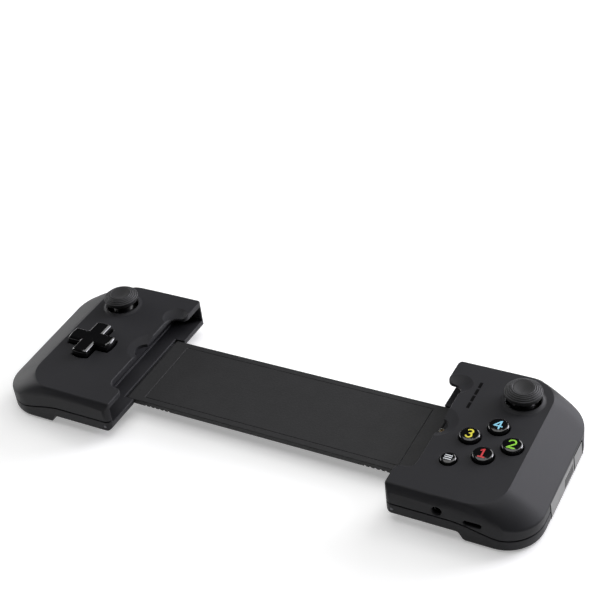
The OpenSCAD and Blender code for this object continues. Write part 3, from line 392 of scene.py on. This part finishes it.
# A copy of a CAD node with its triangles joined to faces and its edges broken, as a mould leaves them.
# Round the light windows and the inset end pieces, which fit closely, and at the thin wedges of the thumb
# notches the edges are broken less.
def dress(node, edgeMm, material=None):
    look = next((edgeLooks[kind] for kind in edgeLooks if kind in node), edgeLooks["default"])
    fineBoxes = [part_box(inset) for inset in closeFits] + notchBoxes
    mesh = nodes[node].data.copy()
    shape = bmesh.new()
    shape.from_mesh(mesh)
    bmesh.ops.remove_doubles(shape, verts=shape.verts, dist=breakLook["weldMm"] * mm)
    bmesh.ops.dissolve_limit(shape, angle_limit=math.radians(breakLook["flat"]), verts=shape.verts,
                             edges=shape.edges, use_dissolve_boundaries=False)
    weights = shape.edges.layers.float.new("bevel_weight_edge")
    rim = breakLook["fineRimMm"] * mm
    for edge in shape.edges:
        fine = any(all(low[axis] - rim < v.co[axis] < high[axis] + rim
                       for v in edge.verts for axis in range(3)) for low, high in fineBoxes)
        if len(edge.link_faces) == 2 and edge.calc_face_angle() > math.radians(look["broken"]):
            edge[weights] = breakLook["fineMm"] / edgeMm if fine and edgeMm else 1.0
    shape.to_mesh(mesh)
    shape.free()
    words = node.split("_")
    piece = newObject(words[0] + "".join(word.title() for word in words[1:]), mesh)
    mesh.materials.clear()
    mesh.materials.append(material or finishes[slotOf[node]])
    if edgeMm:
        soften = piece.modifiers.new("edges", "BEVEL")
        soften.width = edgeMm * mm
        soften.segments = breakLook["steps"]
        soften.limit_method = "WEIGHT"
        soften.use_clamp_overlap = False
        bakeModifiers(piece)
        settleStrays(piece, node, edgeMm * breakLook["strayShare"])
        refillFolded(piece)
    if "dish" in look:
        easeDish(piece, node, look["dish"])
    smoothFaces(piece, look["sharp"], look.get("faceLine", False))
    if "shoulder" in look:
        evenShoulder(piece, look["shoulder"])
    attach(piece, bodyOf[node])
    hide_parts(node)
    return piece


# least angle of the edges that are broken, and of those that stay sharp, in degrees
edgeLooks = {
    "default": {"broken": 30, "sharp": 32},
    "front_housing": {"broken": 40, "sharp": 24, "faceLine": True,
                      "shoulder": {"slope": 31, "wideMm": 16, "lean": (0.17, 0.75), "outward": (0.78, 0.98)}},
    "rear_housing": {"broken": 40, "sharp": 26},
    "button": {"broken": 30, "sharp": 62},
    "cross_pad": {"broken": 32, "sharp": 40, "dish": {"reachMm": 3.3, "deepMm": 0.6, "share": 0.25}},
}
# how edges are broken: points closer than the weld become one, and faces that meet at less than the flat
# angle in degrees are joined
breakLook = {"weldMm": 0.002, "flat": 0.4, "steps": 3, "strayShare": 0.5, "fineMm": 0.06, "fineRimMm": 1.0}
closeFits = ("charge_light_guide", "end_panel", "end_cover")
# low and high corners in mm of the space round each thumb notch
notchLook = {"left": ((-79.1, -10.0, 17.5), (-74.5, 9.0, 19.5)),
             "right": ((74.5, -10.0, 17.5), (79.1, 9.0, 19.5))}
notchBoxes = [[Vector(corner) * mm for corner in corners] for corners in notchLook.values()]
# broken edge in mm for each node that shows
edgesMm = {
    "left_front_housing": 0.55, "right_front_housing": 0.55,
    "left_rear_housing": 0.35, "right_rear_housing": 0.35, "cross_pad": 0.35,
    "button_bottom": 0.25, "button_right": 0.25, "button_left": 0.25, "button_top": 0.25, "menu_button": 0.2,
    "left_bumper": 0.3, "right_bumper": 0.3, "left_trigger": 0.4, "right_trigger": 0.4,
    "bridge_strap": 0.3, "bridge_cover": 0.15,
    "charge_light_guide": 0.05, "charging_socket": 0.1, "headphone_socket": 0.1, "phone_plug": 0.2,
    "left_screws": 0.1, "right_screws": 0.1,
}
pieces = {node: dress(node, width) for node, width in edgesMm.items()}
# broken edge in mm and material of the nodes that look unlike the rest of their slot
otherLooks = {
    # the inset end pieces take the grey of painted light
    "end_panel": (0.12, paintedLightGrey), "end_cover": (0.12, paintedLightGrey),
    "left_stick_shaft": (0, satinBlack), "right_stick_shaft": (0, satinBlack),
    "left_hinge_pin": (0.15, blackenedSteel), "right_hinge_pin": (0.15, blackenedSteel),
}
pieces.update({node: dress(node, *other) for node, other in otherLooks.items()})
print("CAD nodes dressed:", len(pieces))


# a mark is dropped from well above all pieces, and is thick enough to reach a little into the one below
printLook = {"fromM": 0.1, "thickShare": 1.6, "arcSteps": 14, "endSides": 16, "cuts": 2}


# lays a flat mark on the piece below it, a hair above its surface
def layMark(mark, below, liftMm):
    surface = BVHTree.FromObject(below, bpy.context.evaluated_depsgraph_get())
    for vertex in mark.data.vertices:
        above = Vector((vertex.co.x, vertex.co.y, printLook["fromM"]))
        vertex.co.z = surface.ray_cast(above, Vector((0, 0, -1)))[0].z + liftMm * mm
    thicken = mark.modifiers.new("print", "SOLIDIFY")
    thicken.thickness = liftMm * mm * printLook["thickShare"]
    thicken.offset = -1
    bakeModifiers(mark)


def refineFaces(mesh, cuts):
    shape = bmesh.new()
    shape.from_mesh(mesh)
    bmesh.ops.triangulate(shape, faces=shape.faces)
    bmesh.ops.subdivide_edges(shape, edges=shape.edges, cuts=cuts, use_grid_fill=True)
    shape.to_mesh(mesh)
    shape.free()


# points of an arc, in degrees from the right
def arc(x, y, radius, start, end):
    steps = printLook["arcSteps"]
    turns = [math.radians(start + (end - start) * i / steps) for i in range(steps + 1)]
    return [(x + radius * math.cos(turn), y + radius * math.sin(turn)) for turn in turns]


# a flat stroke of even width with round ends
def addStroke(shape, points, width):
    points = [Vector(point) for point in points]
    rows = []
    for i, point in enumerate(points):
        along = (points[min(i + 1, len(points) - 1)] - points[max(i - 1, 0)]).normalized()
        aside = Vector((-along.y, along.x)) * width / 2
        rows.append([shape.verts.new((point + aside).to_3d()), shape.verts.new((point - aside).to_3d())])
    for one, two in zip(rows, rows[1:]):
        shape.faces.new((one[0], one[1], two[1], two[0]))
    for point in (points[0], points[-1]):
        bmesh.ops.create_circle(shape, cap_ends=True, segments=printLook["endSides"], radius=width / 2,
                                matrix=Matrix.Translation(point.to_3d()))


digitLook = {"heightMm": 4.6, "stroke": 0.16, "liftMm": 0.05}
digits = {"button_bottom": ("1", "red"), "button_right": ("2", "green"),
          "button_left": ("3", "yellow"), "button_top": ("4", "blue")}
digitStrokes = {  # in shares of a digit's height, from its lower left
    "1": [[(0.12, 0.78), (0.36, 1.0)], [(0.36, 1.0), (0.36, 0.0)], [(0.1, 0.0), (0.62, 0.0)]],
    "2": [arc(0.33, 0.69, 0.31, 165, -40) + [(0.03, 0.0)], [(0.03, 0.0), (0.68, 0.0)]],
    "3": [arc(0.31, 0.76, 0.24, 150, -90), arc(0.31, 0.26, 0.26, 90, -150)],
    "4": [[(0.52, 0.0), (0.52, 1.0)], [(0.52, 1.0), (0.0, 0.3)], [(0.0, 0.3), (0.74, 0.3)]],
}
for node, (digit, ink) in digits.items():
    low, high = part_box(node)
    shape = bmesh.new()
    for stroke in digitStrokes[digit]:
        addStroke(shape, stroke, digitLook["stroke"])
    bmesh.ops.recalc_face_normals(shape, faces=shape.faces)
    mesh = bpy.data.meshes.new(node + "Digit")
    shape.to_mesh(mesh)
    shape.free()
    mesh.transform(Matrix.Scale(digitLook["heightMm"] * mm, 4))
    xs, ys = [v.co.x for v in mesh.vertices], [v.co.y for v in mesh.vertices]
    middle = Vector(((min(xs) + max(xs)) / 2, (min(ys) + max(ys)) / 2, 0))
    mesh.transform(Matrix.Translation((low + high) / 2 - middle))
    refineFaces(mesh, printLook["cuts"])
    mark = newObject(node.split("_")[1] + "ButtonMark", mesh)
    mesh.materials.append(inks[ink])
    layMark(mark, pieces[node], digitLook["liftMm"])
    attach(mark, bodyOf[node])
print("marks on the buttons: plain digits")


def startTree(name, inputs):
    tree = bpy.data.node_groups.new(name, "GeometryNodeTree")
    sockets = {label: tree.interface.new_socket(label, in_out="INPUT", socket_type=kind).identifier
               for label, kind in inputs.items()}
    tree.interface.new_socket("Geometry", in_out="OUTPUT", socket_type="NodeSocketGeometry")
    return tree, sockets, addNode(tree, "NodeGroupInput").outputs


# Geometry Nodes: a row of small bars of one size, for light windows, sound grille and plug contacts
def barRowTree():
    tree, sockets, given = startTree("barRow", {
        "Count": "NodeSocketInt", "Start": "NodeSocketVector", "Step": "NodeSocketVector",
        "Size": "NodeSocketVector", "Material": "NodeSocketMaterial"})
    row = addNode(tree, "GeometryNodeMeshLine", {"mode": "OFFSET"},
                  {"Count": given["Count"], "Start Location": given["Start"], "Offset": given["Step"]})
    bar = addNode(tree, "GeometryNodeMeshCube", links={"Size": given["Size"]})
    copies = addNode(tree, "GeometryNodeInstanceOnPoints",
                     links={"Points": row.outputs["Mesh"], "Instance": bar.outputs["Mesh"]})
    real = addNode(tree, "GeometryNodeRealizeInstances", links={"Geometry": copies.outputs["Instances"]})
    painted = addNode(tree, "GeometryNodeSetMaterial",
                      links={"Geometry": real.outputs["Geometry"], "Material": given["Material"]})
    addNode(tree, "NodeGroupOutput", links={"Geometry": painted.outputs["Geometry"]})
    return tree, sockets


# Geometry Nodes: round ribs that climb the shoulder of a stick cap, from its side to the rim of its dish
def ribRingTree():
    tree, sockets, given = startTree("ribRings", {
        "Count": "NodeSocketInt", "Centre": "NodeSocketVector", "Wide": "NodeSocketFloat",
        "Narrow": "NodeSocketFloat", "Low": "NodeSocketFloat", "High": "NodeSocketFloat",
        "Bead": "NodeSocketFloat", "Shift": "NodeSocketFloat", "Material": "NodeSocketMaterial"})
    rings = addNode(tree, "GeometryNodeMeshLine", {"mode": "OFFSET", "Offset": (0, 0, 0)},
                    {"Count": given["Count"], "Start Location": given["Centre"]})
    index = addNode(tree, "GeometryNodeInputIndex")
    shifted = addNode(tree, "ShaderNodeMath", {"operation": "ADD"},
                      {0: index.outputs["Index"], 1: given["Shift"]})
    share = addNode(tree, "ShaderNodeMath", {"operation": "DIVIDE"},
                    {0: shifted.outputs["Value"], 1: given["Count"]})
    turn = addNode(tree, "ShaderNodeMath", {"operation": "MULTIPLY", 1: math.pi / 2},
                   {0: share.outputs["Value"]})
    climb = addNode(tree, "ShaderNodeMath", {"operation": "SINE"}, {0: turn.outputs["Value"]})
    height = addNode(tree, "ShaderNodeMapRange", {}, {
        "Value": climb.outputs["Value"], "To Min": given["Low"], "To Max": given["High"]})
    radius = addNode(tree, "ShaderNodeMapRange", {}, {
        "Value": share.outputs["Value"], "To Min": given["Wide"], "To Max": given["Narrow"]})
    lift = addNode(tree, "ShaderNodeCombineXYZ", {}, {"Z": height.outputs["Result"]})
    placed = addNode(tree, "GeometryNodeSetPosition",
                     links={"Geometry": rings.outputs["Mesh"], "Offset": lift.outputs["Vector"]})
    ring = addNode(tree, "GeometryNodeCurvePrimitiveCircle", {"Resolution": ribLook["turns"], "Radius": 1.0})
    copies = addNode(tree, "GeometryNodeInstanceOnPoints",
                     links={"Points": placed.outputs["Geometry"], "Instance": ring.outputs["Curve"],
                            "Scale": radius.outputs["Result"]})
    real = addNode(tree, "GeometryNodeRealizeInstances", links={"Geometry": copies.outputs["Instances"]})
    bead = addNode(tree, "GeometryNodeCurvePrimitiveCircle", {"Resolution": ribLook["beadSides"]},
                   {"Radius": given["Bead"]})
    swept = addNode(tree, "GeometryNodeCurveToMesh",
                    links={"Curve": real.outputs["Geometry"], "Profile Curve": bead.outputs["Curve"]})
    painted = addNode(tree, "GeometryNodeSetMaterial",
                      links={"Geometry": swept.outputs["Mesh"], "Material": given["Material"]})
    addNode(tree, "NodeGroupOutput", links={"Geometry": painted.outputs["Geometry"]})
    return tree, sockets


# a piece grown by a tree from its named sizes, baked to a plain mesh that rides on a body
def growPiece(name, grown, sizes, body):
    tree, sockets = grown
    piece = newObject(name, bpy.data.meshes.new(name))
    growth = piece.modifiers.new("growth", "NODES")
    growth.node_group = tree
    for label, value in sizes.items():
        growth[sockets[label]] = value
    bakeModifiers(piece)
    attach(piece, body)
    return piece


barRows = barRowTree()

# Stick caps: a lathed rubber cap with a soft rim and dish. The half section is in mm from the axis and from
# the cap's low edge: the hole for the lever, the hollow under the skirt, then the side.
capLook = {"under": [(0, 2.1), (1.63, 2.1), (1.63, 0), (3.2, 0), (3.2, 1.1), (6.4, 1.1), (6.6, 0), (7.75, 0),
                     (7.93, 0.4), (8.0, 1.0)],
           "sideMm": 1.8, "dishMm": 4.2, "dishDeepMm": 0.8, "wornMm": 0.45, "steps": 16, "turns": 96,
           "weldMm": 0.001, "sharp": 40}
ribLook = {"count": 5, "beadMm": 0.3, "proudMm": 0.22, "shift": 0.15, "turns": 96, "beadSides": 8}
ribRings = ribRingTree()


def capSection(radius, height):
    steps = [i / capLook["steps"] for i in range(capLook["steps"] + 1)]
    climb = height - capLook["sideMm"]
    shoulder = [(radius + (capLook["dishMm"] - radius) * u,
                 capLook["sideMm"] + climb * math.sin(math.pi / 2 * u)) for u in steps]
    dish = [(capLook["dishMm"] * (1 - u), height - capLook["dishDeepMm"] * math.sin(math.pi / 2 * u))
            for u in steps[1:]]
    return capLook["under"] + shoulder + dish


def latheCap(name, section, middle):
    shape = bmesh.new()
    line = [shape.verts.new((middle.x + r * mm, middle.y, middle.z + z * mm)) for r, z in section]
    edges = [shape.edges.new(pair) for pair in zip(line, line[1:])]
    bmesh.ops.spin(shape, geom=line + edges, cent=middle, axis=(0, 0, 1), angle=math.tau,
                   steps=capLook["turns"], use_merge=True)
    bmesh.ops.remove_doubles(shape, verts=shape.verts, dist=capLook["weldMm"] * mm)
    bmesh.ops.recalc_face_normals(shape, faces=shape.faces)
    mesh = bpy.data.meshes.new(name)
    shape.to_mesh(mesh)
    shape.free()
    return newObject(name, mesh)


for side in ("left", "right"):
    node = side + "_stick_cap"
    low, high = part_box(node)
    middle = Vector(((low.x + high.x) / 2, (low.y + high.y) / 2, low.z))
    radius, height = (high.x - low.x) / 2 / mm, (high.z - low.z) / mm - capLook["wornMm"]
    cap = latheCap(side + "StickCap", capSection(radius, height), middle)
    cap.data.materials.append(finishes["stick_rubber"])
    smoothFaces(cap, capLook["sharp"])
    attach(cap, bodyOf[node])
    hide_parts(node)
    sunk = ribLook["beadMm"] - ribLook["proudMm"]
    # the ribs are in a lighter rubber: a painted highlight on their crests
    ribs = growPiece(side + "StickRibs", ribRings, {
        "Count": ribLook["count"], "Centre": (middle.x, middle.y, 0),
        "Wide": (radius - sunk) * mm, "Narrow": capLook["dishMm"] * mm,
        "Low": low.z + capLook["sideMm"] * mm, "High": low.z + (height - sunk) * mm,
        "Bead": ribLook["beadMm"] * mm, "Shift": ribLook["shift"],
        "Material": ribCrestHighlight}, bodyOf[node])
    ribs.data.polygons.foreach_set("use_smooth", [True] * len(ribs.data.polygons))

# smoked windows of the charge lights, a hair proud of the face, each over a crown of the light guide
windowLook = {"count": 4, "lengthMm": 3.7, "widthMm": 1.3, "thickMm": 0.12, "proudMm": 0.06, "crownMm": 0.01}
low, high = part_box("charge_light_guide")
guide = nodes["charge_light_guide"].data
crowns = [v.co for v in guide.vertices if v.co.z > high.z - windowLook["crownMm"] * mm]
firstY, lastY = min(c.y for c in crowns), max(c.y for c in crowns)
windowX = (min(c.x for c in crowns) + max(c.x for c in crowns)) / 2
slotLength = sorted({round(c.y, 6) for c in crowns})[1] - firstY
windowStep = (lastY - firstY - slotLength) / (windowLook["count"] - 1)
growPiece("lightWindows", barRows, {
    "Count": windowLook["count"],
    "Start": (windowX, firstY + slotLength / 2,
              high.z + (windowLook["proudMm"] - windowLook["thickMm"] / 2) * mm),
    "Step": (0, windowStep, 0),
    "Size": (windowLook["widthMm"] * mm, windowLook["lengthMm"] * mm, windowLook["thickMm"] * mm),
    "Material": finishes["light_window"]}, bodyOf["charge_light_guide"])

# Sound grille of the end panel: bars in the painted-light grey between its slots, and black strips of painted
# shade that fill them
grilleLook = {"pitchMm": 1.35, "firstMm": 2.125, "lowMm": 1.2, "highMm": 5.8, "thickMm": 0.4}
grilleRows = {
    "grilleBars": {"count": 9, "stepIn": 0.0, "widthMm": 0.6, "proudMm": 0.02, "material": paintedLightGrey},
    # black strips of painted shade in the slots
    "grilleSlotShade": {"count": 8, "stepIn": 0.5, "widthMm": 0.85, "proudMm": -0.02, "material": paintedShadeBlack}}
low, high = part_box("end_panel")
for name, row in grilleRows.items():
    growPiece(name, barRows, {
        "Count": row["count"],
        "Start": (high.x + (row["proudMm"] - grilleLook["thickMm"] / 2) * mm,
                  high.y - (grilleLook["firstMm"] + row["stepIn"] * grilleLook["pitchMm"]) * mm,
                  low.z + (grilleLook["lowMm"] + grilleLook["highMm"]) / 2 * mm),
        "Step": (0, -grilleLook["pitchMm"] * mm, 0),
        "Size": (grilleLook["thickMm"] * mm, row["widthMm"] * mm,
                 (grilleLook["highMm"] - grilleLook["lowMm"]) * mm),
        "Material": row["material"]}, bodyOf["end_panel"])

# black strips of painted shade in the seams of the inset end pieces, along the named edges of each
seamLook = {"wideMm": 0.8, "deepMm": 0.15, "proudMm": 0.03, "outerMm": 0.01, "rowMm": 0.1}
seamEdges = {"end_panel": ("near", "far"), "end_cover": ("far", "top")}


# corners of the outer face of an inset end piece, near and far, low and high
def endCorners(node):
    low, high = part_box(node)
    outer = [v.co for v in nodes[node].data.vertices if v.co.x > high.x - seamLook["outerMm"] * mm]
    bottom = [c for c in outer if c.z < low.z + seamLook["rowMm"] * mm]
    top = [c for c in outer if c.z > high.z - seamLook["rowMm"] * mm]
    return {"near": (min(bottom, key=lambda c: c.y), min(top, key=lambda c: c.y)),
            "far": (max(bottom, key=lambda c: c.y), max(top, key=lambda c: c.y)),
            "top": (min(top, key=lambda c: c.y), max(top, key=lambda c: c.y))}


shape = bmesh.new()
for node, edges in seamEdges.items():
    for edge in edges:
        start, end = endCorners(node)[edge]
        along = (end - start).normalized()
        aside = Vector((1, 0, 0)).cross(along) * seamLook["wideMm"] / 2 * mm
        box = bmesh.ops.create_cube(shape, size=1.0)["verts"]
        for vertex in box:
            place = start.lerp(end, vertex.co.z + 0.5) + aside * 2 * vertex.co.y
            place.x = start.x + (seamLook["proudMm"] - (0.5 - vertex.co.x) * seamLook["deepMm"]) * mm
            vertex.co = place
bmesh.ops.recalc_face_normals(shape, faces=shape.faces)
seamShade = newObject("endSeamShade", bpy.data.meshes.new("endSeamShade"))
shape.to_mesh(seamShade.data)
shape.free()
# the seam strips are painted shade
seamShade.data.materials.append(paintedShadeBlack)
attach(seamShade, bodyOf["end_panel"])

# three plain bars on the menu button
menuLook = {"lengthMm": 3.2, "widthMm": 0.5, "pitchMm": 1.1, "liftMm": 0.05, "cuts": 8}
low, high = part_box("menu_button")
middle = (low + high) / 2
bars = newObject("menuButtonMark", bpy.data.meshes.new("menuButtonMark"))
shape = bmesh.new()
for step in (-1, 0, 1):
    grid = bmesh.ops.create_grid(shape, x_segments=menuLook["cuts"], y_segments=1, size=0.5)["verts"]
    place = Vector((middle.x, middle.y + step * menuLook["pitchMm"] * mm, 0))
    for vertex in grid:
        vertex.co = Vector((vertex.co.x * menuLook["lengthMm"] * mm,
                            vertex.co.y * menuLook["widthMm"] * mm, 0)) + place
shape.to_mesh(bars.data)
shape.free()
bars.data.materials.append(inks["white"])
layMark(bars, pieces["menu_button"], menuLook["liftMm"])
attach(bars, bodyOf["menu_button"])

# gold contacts on both faces of the plug's tongue
plugLook = {"count": 8, "pitchMm": 0.66, "lengthMm": 4.2, "widthMm": 0.38, "thickMm": 0.1, "tipMm": 0.7,
            "endMm": 1.0}
low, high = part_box("phone_plug")
tongueY = (low.y + high.y) / 2
tongueEnd = [v.co.z for v in nodes["phone_plug"].data.vertices if v.co.x < low.x + plugLook["endMm"] * mm]
tongueZ = {"top": max(tongueEnd), "bottom": min(tongueEnd)}
for side, z in tongueZ.items():
    growPiece("plugContacts" + side.title(), barRows, {
        "Count": plugLook["count"],
        "Start": (low.x + (plugLook["tipMm"] + plugLook["lengthMm"] / 2) * mm,
                  tongueY - (plugLook["count"] - 1) / 2 * plugLook["pitchMm"] * mm, z),
        "Step": (0, plugLook["pitchMm"] * mm, 0),
        "Size": (plugLook["lengthMm"] * mm, plugLook["widthMm"] * mm, plugLook["thickMm"] * mm),
        "Material": contactGold}, bodyOf["phone_plug"])
print("small repeated pieces made")

# studio: pale floor, soft boxes behind and beside the object, nothing bright in front of it
floorLook = {"sideM": 8.0, "paper": ("#eeeeee", "#f2f2f2"), "fibreMm": 40, "lift": 0.34,
             "farLift": 0.8, "farM": (0.5, 1.2)}
floorMesh = bpy.data.meshes.new("floor")
half = floorLook["sideM"] / 2
floorMesh.from_pydata([(-half, -half, 0), (half, -half, 0), (half, half, 0), (-half, half, 0)], [],
                      [(0, 1, 2, 3)])
floor = newObject("floor", floorMesh)
paper, tree = startMaterial("studioPaper")
place = addNode(tree, "ShaderNodeTexCoord").outputs["Object"]
fibre = addNode(tree, "ShaderNodeTexNoise", {"Scale": 1 / (floorLook["fibreMm"] * mm)}, {"Vector": place})
tone = addNode(tree, "ShaderNodeMix", {"data_type": "RGBA", 6: linear(floorLook["paper"][0]),
                                       7: linear(floorLook["paper"][1])}, {0: fibre.outputs["Fac"]})
matt = addNode(tree, "ShaderNodeBsdfDiffuse", {}, {"Color": tone.outputs[2]})
ray = addNode(tree, "ShaderNodeLightPath")
seen = addNode(tree, "ShaderNodeMath", {"operation": "MAXIMUM"},
               {0: ray.outputs["Is Camera Ray"], 1: ray.outputs["Is Glossy Ray"]})
seenToo = addNode(tree, "ShaderNodeMath", {"operation": "MAXIMUM"},
                  {0: seen.outputs["Value"], 1: ray.outputs["Is Transmission Ray"]})
liftBy = addNode(tree, "ShaderNodeMath", {"operation": "MULTIPLY", 1: floorLook["lift"]},
                 {0: seenToo.outputs["Value"]})
# far from the object, where little light falls, the camera sees the floor lifted to white
away = addNode(tree, "ShaderNodeVectorMath", {"operation": "LENGTH"}, {0: place})
far = addNode(tree, "ShaderNodeMapRange", {"From Min": floorLook["farM"][0], "From Max": floorLook["farM"][1],
                                           "To Max": floorLook["farLift"]}, {"Value": away.outputs["Value"]})
farSeen = addNode(tree, "ShaderNodeMath", {"operation": "MULTIPLY_ADD"},
                  {0: far.outputs["Result"], 1: ray.outputs["Is Camera Ray"], 2: liftBy.outputs["Value"]})
glow = addNode(tree, "ShaderNodeEmission", {}, {"Strength": farSeen.outputs["Value"]})
both = addNode(tree, "ShaderNodeAddShader", {}, {0: matt.outputs["BSDF"], 1: glow.outputs["Emission"]})
addNode(tree, "ShaderNodeOutputMaterial", links={"Surface": both.outputs["Shader"]})
floorMesh.materials.append(paper)

surroundLook = {"dim": 0.03, "seen": 1.0}
world = bpy.data.worlds.new("studioSurround")
bpy.context.scene.world = world
world.use_nodes = True
tree = world.node_tree
tree.nodes.clear()
ray = addNode(tree, "ShaderNodeLightPath")
level = addNode(tree, "ShaderNodeMix",
                {"data_type": "FLOAT", 2: surroundLook["dim"], 3: surroundLook["seen"]},
                {0: ray.outputs["Is Camera Ray"]})
glow = addNode(tree, "ShaderNodeBackground", {}, {"Strength": level.outputs[0]})
addNode(tree, "ShaderNodeOutputWorld", links={"Surface": glow.outputs["Background"]})

softBoxes = {  # place in metres, side in metres, watts, and a tint where the light is cooler
    "overheadBox": {"at": (0.0, 0.1, 1.2), "side": 1.2, "watts": 8.6},
    "backTopBox": {"at": (0.5, 0.8, 0.9), "side": 0.7, "watts": 4.8},
    "backRightBox": {"at": (0.8, 0.9, 0.35), "side": 0.6, "watts": 14.4, "tint": "#f6f5ff"},
    "farBackBox": {"at": (0.3, 1.3, 0.3), "side": 0.7, "watts": 5.2},
    "leftBackBox": {"at": (-1.1, 0.5, 0.25), "side": 0.6, "watts": 1.0},
    "leftLowBox": {"at": (-1.2, 0.15, 0.25), "side": 0.6, "watts": 5.0},
}
for name, box in softBoxes.items():
    lamp = bpy.data.lights.new(name, "AREA")
    lamp.shape = "SQUARE"
    lamp.size = box["side"]
    lamp.energy = box["watts"]
    lamp.color = linear(box.get("tint", "#ffffff"))[:3]
    light = bpy.data.objects.new(name, lamp)
    bpy.context.scene.collection.objects.link(light)
    light.location = box["at"]
    light.rotation_euler = (-Vector(box["at"])).to_track_quat("-Z", "Y").to_euler()

# camera: solved from the photograph, as turn, tilt and roll about a point, in degrees and mm
cameraLook = {"turn": 31.428, "tilt": 35.927, "roll": -7.258, "away": 636.17,
              "aim": (-23.102, 59.569, 17.0), "focalPx": 1327.23, "framePx": 600, "sensor": 36.0,
              "seesM": (0.01, 50)}
turn, tilt, roll = (math.radians(cameraLook[key]) for key in ("turn", "tilt", "roll"))
back = Vector((math.sin(turn) * math.cos(tilt), -math.cos(turn) * math.cos(tilt), math.sin(tilt)))
flatRight = Vector((math.cos(turn), math.sin(turn), 0))
flatUp = back.cross(flatRight)
right = flatRight * math.cos(roll) + flatUp * math.sin(roll)
up = flatUp * math.cos(roll) - flatRight * math.sin(roll)
lens = bpy.data.cameras.new("camera")
lens.sensor_width = cameraLook["sensor"]
lens.lens = cameraLook["sensor"] * cameraLook["focalPx"] / cameraLook["framePx"]
lens.clip_start, lens.clip_end = cameraLook["seesM"]
camera = bpy.data.objects.new("camera", lens)
bpy.context.scene.collection.objects.link(camera)
stand = (Vector(cameraLook["aim"]) + back * cameraLook["away"]) * mm
camera.matrix_world = Matrix.Translation(stand) @ Matrix((right, up, back)).transposed().to_4x4()
bpy.context.scene.camera = camera
bpy.context.scene.view_settings.view_transform = "Standard"

print("scene ready")
